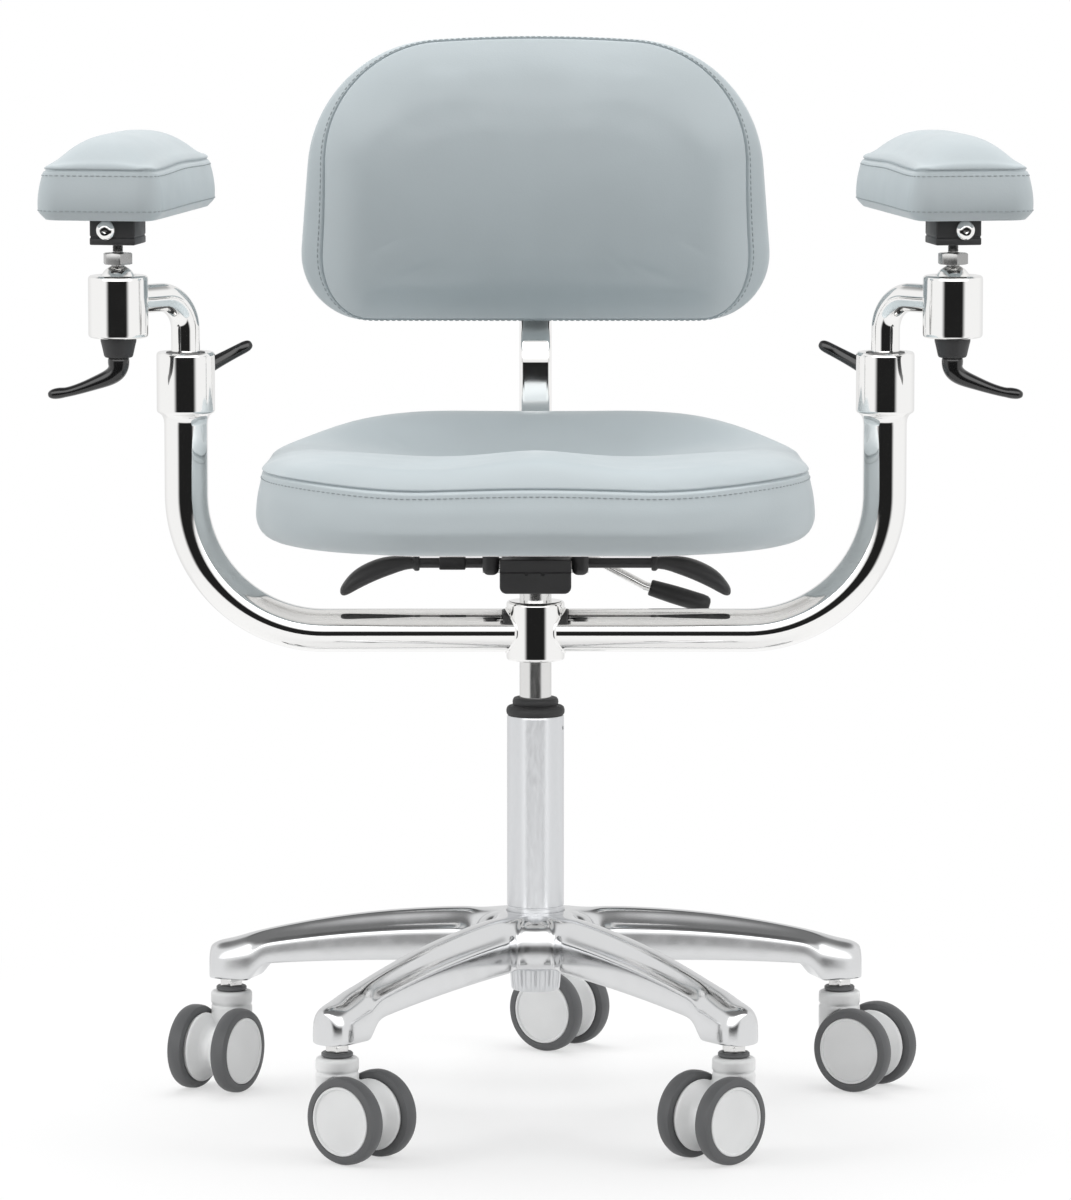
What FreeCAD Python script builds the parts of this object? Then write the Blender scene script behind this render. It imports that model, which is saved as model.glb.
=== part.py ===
import FreeCAD, Part
import math
import os
import re
import Sketcher
from FreeCAD import Placement, Rotation, Vector

# A microscope chair: a castered star base, a gas column, a yoke with two arm rests, a seat and a back.
# The origin is on the floor under the column. The sitter faces -Y, and lengths are in millimetres.

SIZES = {
    # Clearances
    "running_gap": 0.3,
    "fit_gap": 0.05,
    # Casters
    "wheel_radius": 37.5,
    "wheel_width": 15.0,
    "wheel_disc_radius": 29.5,
    "wheel_cap": 3.0,
    "tread_round": 4.5,
    "wheel_gap": 0.8,
    "axle_radius": 4.0,
    "caster_trail": 27.0,
    "spool_half_width": 14.2,
    "spool_flange_radius": 31.0,
    "spool_flange": 3.0,
    "spool_waist_radius": 17.0,
    "spool_waist_half_width": 6.0,
    "housing_radius": 18.5,
    "housing_rise": 48.5,
    "wheel_clearance": 1.2,
    "stem_radius": 5.5,
    "stem_depth": 30.0,
    "stem_seat": 22.0,
    "stem_seal_radius": 13.5,
    "stem_seal_height": 4.0,
    "stem_hex_across": 19.0,
    "stem_hex_height": 7.7,
    # Star base
    "stem_circle_radius": 286.0,
    "foot_height": 36.0,
    "foot_half_width": 19.0,
    "foot_chamfer": 8.0,
    "arm_end_depth": 24.0,
    "arm_end_half_width": 17.0,
    "arm_middle_half_width": 19.0,
    "arm_root_half_width": 21.0,
    "arm_arch": 9.0,
    "arm_wall": 5.0,
    "hub_radius": 52.0,
    "hub_lift": 30.0,
    "hub_height": 46.0,
    "hub_shoulder": 16.0,
    # Gas column
    "tube_radius": 25.0,
    "tube_wall": 2.0,
    "tube_tail": 25.0,
    "tube_tail_radius": 22.0,
    "tube_shoulder": 8.0,
    "tube_floor": 4.0,
    "tube_rise": 173.0,
    "bush_length": 85.0,
    "lower_seal_radius": 25.6,
    "lower_seal_height": 8.0,
    "upper_seal_radius": 20.0,
    "upper_seal_height": 7.5,
    "seal_round": 2.0,
    "seal_clearance": 0.5,
    "cylinder_radius": 14.0,
    "cylinder_bore_radius": 11.0,
    "cylinder_cap": 8.0,
    "lift_up": 120.0,
    "lift_down": 30.0,
    "lift_stop": 3.0,
    "cylinder_engaged": 65.0,
    "rod_radius": 5.0,
    "rod_flange_radius": 12.0,
    "rod_flange": 4.0,
    "piston_height": 14.0,
    "bearing_radius": 15.0,
    "bearing_ball_radius": 2.5,
    "bearing_washer": 2.0,
    # Yoke and arm tubes
    "yoke_radius": 25.5,
    "yoke_height": 52.0,
    "yoke_chamfer": 1.5,
    "arm_tube_radius": 19.0,
    "arm_tube_wall": 2.0,
    "arm_tube_bend": 120.0,
    "arm_tube_spread": 305.0,
    "arm_tube_rise": 191.5,
    "clamp_radius": 25.5,
    "clamp_height": 53.0,
    "clamp_chamfer": 1.5,
    # Arm posts, sockets and pads
    "sleeve_length": 62.0,
    "post_radius": 12.5,
    "post_wall": 2.5,
    "post_bend": 30.0,
    "post_shown": 19.0,
    "post_depth": 125.0,
    "post_reach": 79.0,
    "post_splay": 46.0,
    "socket_radius": 26.0,
    "socket_height": 54.0,
    "socket_over_post": 22.0,
    "socket_chamfer": 1.5,
    "socket_plug": 14.0,
    "ball_radius": 16.0,
    "ball_sink": 7.0,
    "nut_across": 22.0,
    "nut_height": 9.7,
    "stud_radius": 5.0,
    "stud_neck_radius": 9.5,
    "stud_neck_height": 8.0,
    "stud_seat": 15.0,
    "block_width": 40.0,
    "block_length": 42.0,
    "block_height": 24.0,
    "screw_head_radius": 8.0,
    "screw_head_height": 7.0,
    "screw_rim": 2.8,
    "screw_crown_radius": 4.8,
    "screw_shank_radius": 4.0,
    "screw_shank_length": 12.0,
    "screw_offset": 5.0,
    "screw_rise": 13.0,
    "pad_width": 106.0,
    "pad_front": 80.0,
    "pad_rear": 155.0,
    "pad_corner": 22.0,
    "pad_boxing": 37.0,
    "pad_crown": 35.0,
    "pad_tuck": 6.0,
    "pad_swell": 11.0,
    "pad_seam_inset": 2.0,
    "pad_shoulder_inset": 14.5,
    "pad_shoulder_drop": 10.0,
    "pad_top_inset": 30.0,
    "pad_toe": 10.0,
    # Clamping levers
    "lever_skirt_radius": 15.5,
    "lever_collar_radius": 12.0,
    "lever_skirt_height": 17.0,
    "lever_neck_radius": 9.5,
    "lever_neck_height": 14.0,
    "lever_reach": 62.0,
    "lever_drop": 50.0,
    "lever_root_thick": 13.0,
    "lever_tip_thick": 8.0,
    "lever_width": 15.0,
    "lever_tip_width": 12.0,
    "lever_screw_radius": 4.0,
    "post_lever_lift": 27.0,
    # Mechanism and its levers
    "mechanism_gap": 11.0,
    "mechanism_half_width": 28.5,
    "mechanism_front": 60.0,
    "mechanism_rear": 112.0,
    "mechanism_height": 28.5,
    "mechanism_wall": 3.0,
    "cover_wall": 2.5,
    "cover_front": 6.0,
    "cover_length": 19.0,
    "cover_round": 8.0,
    "boss_radius": 19.0,
    "seat_pivot_ahead": 40.0,
    "seat_pivot_drop": 8.0,
    "back_pivot_behind": 95.0,
    "back_pivot_rise": 11.5,
    "pin_radius": 5.0,
    "shaft_radius": 4.5,
    "shaft_ahead": 15.0,
    "shaft_drop": 7.0,
    "shaft_inner_end": 22.0,
    "paddle_start": 100.0,
    "paddle_ring_radius": 9.0,
    "paddle_ring_width": 15.0,
    "paddle_reach": 168.0,
    "paddle_drop": 25.0,
    "paddle_middle_drop": 9.0,
    "paddle_half_depth": 13.0,
    "paddle_tip_half_depth": 10.5,
    "paddle_root_thick": 12.0,
    "paddle_tip_thick": 6.0,
    "rod_lever_radius": 4.0,
    "rod_lever_behind": 42.0,
    "rod_lever_drop": 9.0,
    "rod_lever_run": 23.0,
    "rod_lever_bend": 20.0,
    "rod_lever_slope": 28.0,
    "rod_lever_length": 46.0,
    "grip_slope": 17.0,
    "grip_radius": 7.5,
    "grip_neck_radius": 5.5,
    "grip_length": 54.0,
    "grip_swell": 24.0,
    "grip_end": 5.5,
    "grip_end_radius": 4.5,
    "grip_socket": 20.0,
    # Seat
    "seat_clearance": 14.0,
    "seat_plate_thick": 6.0,
    "seat_plate_inset": 60.0,
    "ear_inner": 33.0,
    "ear_thick": 13.0,
    "ear_radius": 10.0,
    "seat_half_width": 241.0,
    "seat_front": 225.0,
    "seat_rear": 205.0,
    "seat_corner": 150.0,
    "seat_tuck": 14.0,
    "seat_boxing": 55.0,
    "seat_crown": 22.0,
    "seat_seam_inset": 7.0,
    "seat_shoulder_inset": 45.0,
    "seat_shoulder_drop": 5.5,
    "seat_top_inset": 98.0,
    "seat_rake": 2.4,
    # Back
    "bar_width": 29.0,
    "bar_thick": 12.0,
    "bar_round": 4.5,
    "bar_eye_radius": 10.0,
    "bar_behind": 226.0,
    "bar_low_bend": 45.0,
    "bar_straight_top": 638.0,
    "bar_step_bend": 40.0,
    "bar_step_angle": 42.0,
    "bar_top_run": 150.0,
    "bracket_half_width": 25.0,
    "bracket_wall": 5.0,
    "bracket_height": 60.0,
    "bracket_above_step": 25.0,
    "shell_thick": 6.0,
    "shell_inset": 12.0,
    "knob_radius": 16.0,
    "knob_length": 18.0,
    "knob_neck_radius": 11.0,
    "knob_skirt": 7.0,
    "knob_edge": 2.5,
    "back_bottom": 678.0,
    "back_height": 254.0,
    "back_half_width": 210.0,
    "back_lower_round": 58.0,
    "back_waist_rise": 157.0,
    "back_waist_in": 15.0,
    "back_side_radius": 508.0,
    "back_shoulder_in": 101.0,
    "back_shoulder_drop": 11.0,
    "back_shoulder_radius": 118.0,
    "back_arch_radius": 546.0,
    "back_thick": 60.0,
    "back_boxing": 36.0,
    "back_swell": 12.5,
    "back_rear_inset": 6.0,
    "back_seam_inset": 7.0,
    "back_edge_inset": 14.5,
    "back_face_inset": 48.0,
}

ORIGIN = ("0", "0", "0")
X_AXIS, Y_AXIS, Z_AXIS = Vector(1, 0, 0), Vector(0, 1, 0), Vector(0, 0, 1)
SIDES = {"left": -1, "right": 1}
STAR_ARMS = 5
STAR_STEP = 360 / STAR_ARMS
# The way each caster trails at rest, in degrees from +X: the rear one first, then round by the left.
CASTER_HEADINGS = (-34, -119, -38, -136, -33)
BEARING_BALLS = 9
# The section of a star arm, in shares of its own depth and half width
ARM_FLANK = 0.45
ARM_SHOULDER = 0.82
ARM_SHOULDER_WIDTH = 0.78
ARM_RIDGE_WIDTH = 0.35
CHANNEL_ROOF_WIDTH = 0.7

# Heights above the floor, each built on the one below it
HOUSING_TOP = "(wheel_radius + housing_rise)"
FOOT_BOTTOM = f"({HOUSING_TOP} + running_gap + stem_seal_height + stem_hex_height)"
FOOT_TOP = f"({FOOT_BOTTOM} + foot_height)"
HUB_BOTTOM = f"({FOOT_BOTTOM} + hub_lift)"
HUB_TOP = f"({HUB_BOTTOM} + hub_height)"
TUBE_BOTTOM = f"({HUB_BOTTOM} - tube_tail)"
TUBE_TOP = f"({HUB_TOP} + tube_rise)"
BEARING_BOTTOM = f"({TUBE_BOTTOM} + tube_floor)"
BEARING_TOP = f"({BEARING_BOTTOM} + 2 * bearing_washer + 2 * bearing_ball_radius)"
SEALS_TOP = f"({TUBE_TOP} + lower_seal_height + upper_seal_height)"
YOKE_BOTTOM = f"({SEALS_TOP} + lift_down + lift_stop)"
YOKE_MIDDLE = f"({YOKE_BOTTOM} + yoke_height / 2)"
YOKE_TOP = f"({YOKE_BOTTOM} + yoke_height)"
MECHANISM_BOTTOM = f"({YOKE_TOP} + mechanism_gap + cover_wall)"
MECHANISM_TOP = f"({MECHANISM_BOTTOM} + mechanism_height)"
CYLINDER_BOTTOM = f"({TUBE_TOP} - cylinder_engaged - lift_up)"
PISTON_BOTTOM = f"({CYLINDER_BOTTOM} + lift_up + 2 * cylinder_cap)"
SEAT_PLATE_BOTTOM = f"({MECHANISM_TOP} + seat_clearance)"
SEAT_BOTTOM = f"({SEAT_PLATE_BOTTOM} + seat_plate_thick)"
SEAT_PIVOT = f"({MECHANISM_TOP} - seat_pivot_drop)"
BACK_PIVOT = f"({MECHANISM_BOTTOM} + back_pivot_rise)"
SHAFT_HEIGHT = f"({MECHANISM_TOP} - shaft_drop)"
CLAMP_BOTTOM = f"({YOKE_MIDDLE} + arm_tube_rise)"
CLAMP_TOP = f"({CLAMP_BOTTOM} + clamp_height)"
POST_HEIGHT = f"({CLAMP_TOP} + post_shown + post_bend)"
SOCKET_TOP = f"({POST_HEIGHT} + socket_over_post)"
SOCKET_BOTTOM = f"({SOCKET_TOP} - socket_height)"
BALL_HEIGHT = f"({SOCKET_TOP} - ball_sink)"
NUT_BOTTOM = f"({BALL_HEIGHT} + ball_radius + running_gap)"
NUT_TOP = f"({NUT_BOTTOM} + nut_height)"
BLOCK_BOTTOM = f"({NUT_TOP} + stud_neck_height)"
PAD_BOTTOM = f"({BLOCK_BOTTOM} + block_height)"
SOCKET_SPREAD = "(arm_tube_spread + post_reach * cos(post_splay))"
SOCKET_AHEAD = "(post_reach * sin(post_splay))"
STEP_RISE = "(2 * bar_step_bend * sin(bar_step_angle))"
STEP_BACK = "(2 * bar_step_bend * (1 - cos(bar_step_angle)))"
BAR_UPPER = f"(bar_behind + {STEP_BACK})"
STEP_TOP = f"(bar_straight_top + {STEP_RISE})"
BRACKET_BOTTOM = f"({STEP_TOP} + bracket_above_step)"
BRACKET_FRONT = f"({BAR_UPPER} - bar_thick / 2 - running_gap - bracket_wall)"
BRACKET_REAR = f"({BAR_UPPER} + bar_thick / 2 + running_gap + bracket_wall)"

doc = FreeCAD.newDocument("MicroscopeChair")
sheet = doc.addObject("Spreadsheet::Sheet", "Sizes")
for row, (name, number) in enumerate(SIZES.items(), start=1):
    sheet.set(f"A{row}", name)
    sheet.set(f"B{row}", str(number))
    sheet.setAlias(f"B{row}", name)
doc.recompute()

nodes = []


# Tools for drawing and shaping
def bound(formula):
    """The formula with every size name pointing at its cell."""
    return re.sub(
        r"[a-z_]+",
        lambda word: f"Sizes.{word[0]}" if word[0] in SIZES else word[0],
        str(formula),
    )


def value(formula):
    return float(sheet.evalExpression(bound(formula)))


def put(thing, spot=ORIGIN, turn=Rotation()):
    thing.Placement = Placement(Vector(), turn)
    for axis, formula in zip("xyz", spot):
        thing.setExpression(f"Placement.Base.{axis}", bound(formula))
    return thing


def new_body(name, spot=ORIGIN, turn=Rotation()):
    return put(doc.addObject("PartDesign::Body", name), spot, turn)


def blank_sketch(body, role, offset="0", tilt=0):
    drawing = body.newObject("Sketcher::SketchObject", f"{body.Name}_sketch")
    plane = next(feature for feature in body.Origin.OriginFeatures if feature.Role == role)
    drawing.AttachmentSupport = [(plane, "")]
    drawing.MapMode = "FlatFace"
    drawing.AttachmentOffset = Placement(Vector(), Rotation(X_AXIS, tilt))
    drawing.setExpression("AttachmentOffset.Base.z", bound(offset))
    return drawing


def arc_edge(start, stop, radius):
    """An arc of under half a turn; it turns left for a positive radius and right for a negative one."""
    chord = stop - start
    half = chord.Length / 2
    rise = math.sqrt(max(radius * radius - half * half, 0))
    side = math.copysign(1, radius)
    centre = (start + stop) * 0.5 + Vector(-chord.y, chord.x, 0).normalize() * rise * side
    first, last = (start, stop) if side > 0 else (stop, start)
    angles = [math.atan2(end.y - centre.y, end.x - centre.x) for end in (first, last)]
    return Part.ArcOfCircle(Part.Circle(centre, Z_AXIS, abs(radius)), *angles)


def outline(body, role, corners, closed=True, offset="0", tilt=0):
    """A sketch through corners (x, y), where (x, y, radius) is reached along an arc."""
    drawing = blank_sketch(body, role, offset, tilt)
    spots = [Vector(value(corner[0]), value(corner[1]), 0) for corner in corners]
    edges = len(corners) if closed else len(corners) - 1
    ends, rules, formulas = [], [], []
    for index in range(edges):
        following = (index + 1) % len(corners)
        radius = corners[following][2:]
        if radius:
            drawing.addGeometry(arc_edge(spots[index], spots[following], value(radius[0])), False)
            rules.append(Sketcher.Constraint("Radius", index, abs(value(radius[0]))))
            formulas.append(f"abs({radius[0]})")
            ends.append((1, 2) if value(radius[0]) > 0 else (2, 1))
        else:
            drawing.addGeometry(Part.LineSegment(spots[index], spots[following]), False)
            ends.append((1, 2))
    for index, corner in enumerate(corners):
        edge, end = (index, ends[index][0]) if index < edges else (edges - 1, ends[-1][1])
        for kind, formula, number in zip(("DistanceX", "DistanceY"), corner, spots[index]):
            rules.append(Sketcher.Constraint(kind, -1, 1, edge, end, number))
            formulas.append(formula)
    joins = edges if closed else edges - 1
    for index in range(joins):
        following = (index + 1) % edges
        rules.append(Sketcher.Constraint("Coincident", index, ends[index][1], following, ends[following][0]))
    drawing.addConstraint(rules)
    for index, formula in enumerate(formulas):
        drawing.setExpression(f"Constraints[{index}]", bound(formula))
    return drawing


def circle(body, role, radius, offset="0", centre=("0", "0")):
    drawing = blank_sketch(body, role, offset)
    middle = Vector(value(centre[0]), value(centre[1]), 0)
    drawing.addGeometry(Part.Circle(middle, Z_AXIS, value(radius)), False)
    drawing.addConstraint([
        Sketcher.Constraint("Radius", 0, value(radius)),
        Sketcher.Constraint("DistanceX", -1, 1, 0, 3, middle.x),
        Sketcher.Constraint("DistanceY", -1, 1, 0, 3, middle.y),
    ])
    for index, formula in enumerate((radius, *centre)):
        drawing.setExpression(f"Constraints[{index}]", bound(formula))
    return drawing


def turned(name, corners, spot=ORIGIN, turn=Rotation()):
    """A lathe piece: corners (radius, height) turned about the piece's own Z."""
    body = new_body(name, spot, turn)
    drawing = outline(body, "XZ_Plane", corners)
    lathe = body.newObject("PartDesign::Revolution", f"{name}_turned")
    lathe.Profile = drawing
    lathe.ReferenceAxis = (drawing, ["V_Axis"])
    lathe.Angle = 360
    return body


def extruded(name, corners, length, role="XY_Plane", offset="0", spot=ORIGIN, turn=Rotation()):
    body = new_body(name, spot, turn)
    pad = body.newObject("PartDesign::Pad", f"{name}_extruded")
    pad.Profile = outline(body, role, corners, offset=offset)
    pad.setExpression("Length", bound(length))
    return body


def lofted(name, role, sections, spot=ORIGIN, turn=Rotation()):
    """A loft through sections of (corners, offset, tilt)."""
    body = new_body(name, spot, turn)
    loft_into(body, f"{name}_loft", "PartDesign::AdditiveLoft", role, sections)
    return body


def loft_into(body, name, kind, role, sections):
    drawings = [
        outline(body, role, corners, offset=offset, tilt=tilt)
        for corners, offset, tilt in sections
    ]
    loft = body.newObject(kind, name)
    loft.Profile = drawings[0]
    loft.Sections = drawings[1:]
    return loft


def pipe_into(body, name, kind, route, section):
    pipe = body.newObject(kind, name)
    pipe.Profile = section
    pipe.Spine = (route, [f"Edge{number + 1}" for number in range(route.GeometryCount)])
    return pipe


def cylinder(name, radius, length, spot=ORIGIN, turn=Rotation()):
    rod = put(doc.addObject("Part::Cylinder", name), spot, turn)
    rod.setExpression("Radius", bound(radius))
    rod.setExpression("Height", bound(length))
    return rod


def ball(name, radius, spot):
    sphere = put(doc.addObject("Part::Sphere", name), spot)
    sphere.setExpression("Radius", bound(radius))
    return sphere


def hexagon(name, across, height, spot):
    prism = put(doc.addObject("Part::Prism", name), spot)
    prism.Polygon = 6
    prism.setExpression("Circumradius", bound(f"{across} / 2 / cos(30)"))
    prism.setExpression("Height", bound(height))
    return prism


def box(name, low, high):
    """A box between two corners."""
    block = put(doc.addObject("Part::Box", name), low)
    for side, start, stop in zip(("Length", "Width", "Height"), low, high):
        block.setExpression(side, bound(f"({stop}) - ({start})"))
    return block


def cut(base, *tools):
    for tool in tools:
        piece = doc.addObject("Part::Cut", f"{tool.Name}_cut")
        piece.Base = base
        piece.Tool = tool
        base = piece
    return base


def fused(name, *pieces):
    union = doc.addObject("Part::MultiFuse", name)
    union.Shapes = list(pieces)
    return union


def grouped(name, *pieces):
    group = doc.addObject("Part::Compound", name)
    group.Links = list(pieces)
    return group


def node(name, thing):
    """Keep a finished piece under its own name."""
    thing.Label = name
    nodes.append(thing)
    return thing


def rounded(half_width, front, rear, corner):
    """Corners of a rounded rectangle that reaches from -front to rear in Y."""
    side, ahead, behind = f"({half_width})", f"(-({front}))", f"({rear})"
    inner, low, high = f"({side} - {corner})", f"({ahead} + {corner})", f"({behind} - {corner})"
    return [
        (f"-{inner}", ahead, corner),
        (inner, ahead),
        (side, low, corner),
        (side, high),
        (inner, behind, corner),
        (f"-{inner}", behind),
        (f"-{side}", high, corner),
        (f"-{side}", low),
    ]


# Star base
def star_base():
    body = new_body("star_base", turn=Rotation(Z_AXIS, 90))

    def arm_section(half_width, bottom, top):
        side, low, high = f"({half_width})", f"({bottom})", f"({top})"
        flank = f"({low} + ({high} - {low}) * {ARM_FLANK})"
        shoulder = f"({low} + ({high} - {low}) * {ARM_SHOULDER})"
        right = [
            (side, low),
            (side, flank),
            (f"{side} * {ARM_SHOULDER_WIDTH}", shoulder),
            (f"{side} * {ARM_RIDGE_WIDTH}", high),
        ]
        left = [(f"-{x}", y) for x, y in reversed(right)]
        return right + left

    def channel_section(half_width, bottom, top):
        side, low, high = f"({half_width} - arm_wall)", f"({bottom} - arm_wall)", f"({top} - 2 * arm_wall)"
        roof = f"({side} * {CHANNEL_ROOF_WIDTH})"
        return [(side, low), (roof, high), (f"-{roof}", high), (f"-{side}", low)]

    middle_top = f"({HUB_TOP} + {FOOT_TOP}) / 2 + arm_arch"
    middle_bottom = f"({HUB_BOTTOM} + {FOOT_TOP} - arm_end_depth) / 2 + arm_arch / 2"
    end_bottom = f"{FOOT_TOP} - arm_end_depth"
    root, middle, end = "hub_radius / 2", "stem_circle_radius / 2", "stem_circle_radius"
    arm = loft_into(body, "star_arm", "PartDesign::AdditiveLoft", "YZ_Plane", [
        (arm_section("arm_root_half_width", HUB_BOTTOM, f"{HUB_TOP} - arm_wall / 2"), root, 0),
        (arm_section("arm_middle_half_width", middle_bottom, middle_top), middle, 0),
        (arm_section("arm_end_half_width", end_bottom, FOOT_TOP), end, 0),
    ])
    channel = loft_into(body, "arm_channel", "PartDesign::SubtractiveLoft", "YZ_Plane", [
        (channel_section("arm_root_half_width", HUB_BOTTOM, HUB_TOP), root, 0),
        (channel_section("arm_middle_half_width", middle_bottom, middle_top), middle, 0),
        (channel_section("arm_end_half_width", end_bottom, FOOT_TOP), end, 0),
    ])
    foot = body.newObject("PartDesign::Pad", "star_foot")
    wide, narrow = "foot_half_width", "(foot_half_width - foot_chamfer)"
    near, far = f"(stem_circle_radius - {wide})", f"(stem_circle_radius + {wide})"
    foot.Profile = outline(body, "XY_Plane", [
        (near, f"-{narrow}"),
        (f"({near} + foot_chamfer)", f"-{wide}"),
        (f"({far} - foot_chamfer)", f"-{wide}"),
        (far, f"-{narrow}"),
        (far, narrow),
        (f"({far} - foot_chamfer)", wide),
        (f"({near} + foot_chamfer)", wide),
        (near, narrow),
    ], offset=FOOT_BOTTOM)
    foot.setExpression("Length", bound("foot_height"))
    hole = body.newObject("PartDesign::Pocket", "stem_hole")
    hole.Profile = circle(body, "XY_Plane", "stem_radius", FOOT_BOTTOM, ("stem_circle_radius", "0"))
    hole.Reversed = True
    hole.setExpression("Length", bound("stem_seat"))
    spread = body.newObject("PartDesign::PolarPattern", "star_arms")
    spread.Originals = [arm, channel, foot, hole]
    spread.Axis = (foot.Profile[0], ["N_Axis"])
    spread.Angle = 360
    spread.Occurrences = STAR_ARMS
    body.Tip = spread
    hub = body.newObject("PartDesign::Revolution", "star_hub")
    hub_sketch = outline(body, "XZ_Plane", [
        ("0", HUB_BOTTOM),
        ("hub_radius", HUB_BOTTOM),
        ("hub_radius", f"{HUB_TOP} - hub_shoulder"),
        ("tube_radius + arm_wall", HUB_TOP),
        ("0", HUB_TOP),
    ])
    hub.Profile = hub_sketch
    hub.ReferenceAxis = (hub_sketch, ["V_Axis"])
    hub.Angle = 360
    bore = body.newObject("PartDesign::Groove", "column_bore")
    bore_sketch = outline(body, "XZ_Plane", [
        ("0", f"{HUB_BOTTOM} - tube_tail"),
        ("tube_radius", f"{HUB_BOTTOM} - tube_tail"),
        ("tube_radius", f"{HUB_TOP} + tube_tail"),
        ("0", f"{HUB_TOP} + tube_tail"),
    ])
    bore.Profile = bore_sketch
    bore.ReferenceAxis = (bore_sketch, ["V_Axis"])
    bore.Angle = 360
    body.Tip = bore
    node("star_base", body)


# Casters
def caster_stem(number, spot):
    """A pin with a seal flange and a hex, from the housing up into the foot."""
    pin = turned(f"stem_pin_{number}", [
        ("0", f"{HOUSING_TOP} - stem_depth"),
        ("stem_radius", f"{HOUSING_TOP} - stem_depth"),
        ("stem_radius", f"{HOUSING_TOP} + running_gap"),
        ("stem_seal_radius", f"{HOUSING_TOP} + running_gap"),
        ("stem_seal_radius", f"{HOUSING_TOP} + running_gap + stem_seal_height"),
        ("stem_radius", f"{HOUSING_TOP} + running_gap + stem_seal_height"),
        ("stem_radius", f"{FOOT_BOTTOM} + stem_seat"),
        ("0", f"{FOOT_BOTTOM} + stem_seat"),
    ], (*spot, "0"))
    hex_spot = (*spot, f"{FOOT_BOTTOM} - stem_hex_height")
    nut = hexagon(f"stem_hex_{number}", "stem_hex_across", "stem_hex_height", hex_spot)
    return fused(f"stem_{number}", pin, nut)


def caster_housing(number, spot, axle_spot, heading):
    along_axle = Rotation(Z_AXIS, heading).multiply(Rotation(X_AXIS, -90))
    against_axle = Rotation(Z_AXIS, heading).multiply(Rotation(X_AXIS, 90))
    flange_inner = "(spool_half_width - spool_flange)"
    spool = turned(f"spool_{number}", [
        ("axle_radius", "-spool_half_width"),
        ("spool_flange_radius", "-spool_half_width"),
        ("spool_flange_radius", f"-{flange_inner}"),
        ("spool_waist_radius", "-spool_waist_half_width"),
        ("spool_waist_radius", "spool_waist_half_width"),
        ("spool_flange_radius", flange_inner),
        ("spool_flange_radius", "spool_half_width"),
        ("axle_radius", "spool_half_width"),
    ], axle_spot, along_axle)
    collar = cylinder(f"collar_{number}", "housing_radius", "housing_rise", (*spot, "wheel_radius"))
    wells = [
        cylinder(f"well_{number}_{side}", "wheel_radius + wheel_clearance", "housing_radius + caster_trail",
                 beside(axle_spot, heading, f"{sign} * spool_half_width"), turn)
        for side, sign, turn in (("left", 1, along_axle), ("right", -1, against_axle))
    ]
    bore_spot = (*spot, f"{HOUSING_TOP} - stem_depth - running_gap")
    bore = cylinder(f"stem_bore_{number}", "stem_radius + fit_gap", "stem_depth + wheel_radius", bore_spot)
    eye = cylinder(f"axle_eye_{number}", "axle_radius", "2 * spool_half_width",
                   beside(axle_spot, heading, "-spool_half_width"), along_axle)
    shell = cut(fused(f"housing_shell_{number}", spool, cut(collar, *wells)), bore, eye)
    reach = "(spool_half_width + wheel_gap + wheel_width - wheel_cap - running_gap)"
    axle = cylinder(f"axle_{number}", "axle_radius", f"2 * {reach}",
                    beside(axle_spot, heading, f"-{reach}"), along_axle)
    node(f"caster_housing_{number}", grouped(f"housing_{number}", shell, axle))


def caster_wheel(number, side, sign, axle_spot, heading):
    inner = beside(axle_spot, heading, f"{sign} * (spool_half_width + wheel_gap)")
    turn = Rotation(Z_AXIS, heading).multiply(Rotation(X_AXIS, -90 * sign))
    bore, cap = "(axle_radius + fit_gap)", "(wheel_width - wheel_cap)"
    disc = turned(f"disc_{number}_{side}", [
        (bore, "0"),
        ("wheel_disc_radius", "0"),
        ("wheel_disc_radius", "wheel_width"),
        ("0", "wheel_width"),
        ("0", cap),
        (bore, cap),
    ], inner, turn)
    seat = "(wheel_disc_radius + fit_gap)"
    tread = turned(f"tread_{number}_{side}", [
        (seat, "0"),
        ("wheel_radius - tread_round", "0"),
        ("wheel_radius", "tread_round", "tread_round"),
        ("wheel_radius", "wheel_width - tread_round"),
        ("wheel_radius - tread_round", "wheel_width", "tread_round"),
        (seat, "wheel_width"),
    ], inner, turn)
    node(f"caster_wheel_{number}_{side}", grouped(f"wheel_{number}_{side}", disc, tread))


def beside(spot, heading, distance):
    """The spot moved along a caster's axle."""
    return (
        f"{spot[0]} - ({distance}) * sin({heading})",
        f"{spot[1]} + ({distance}) * cos({heading})",
        spot[2],
    )


def casters():
    stems = []
    for index, heading in enumerate(CASTER_HEADINGS):
        number = index + 1
        bearing = 90 + STAR_STEP * index
        spot = (f"stem_circle_radius * cos({bearing})", f"stem_circle_radius * sin({bearing})")
        axle_spot = (
            f"{spot[0]} + caster_trail * cos({heading})",
            f"{spot[1]} + caster_trail * sin({heading})",
            "wheel_radius",
        )
        stems.append(caster_stem(number, spot))
        caster_housing(number, spot, axle_spot, heading)
        for side, sign in (("left", 1), ("right", -1)):
            caster_wheel(number, side, sign, axle_spot, heading)
    node("caster_stems", grouped("stems", *stems))


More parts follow.
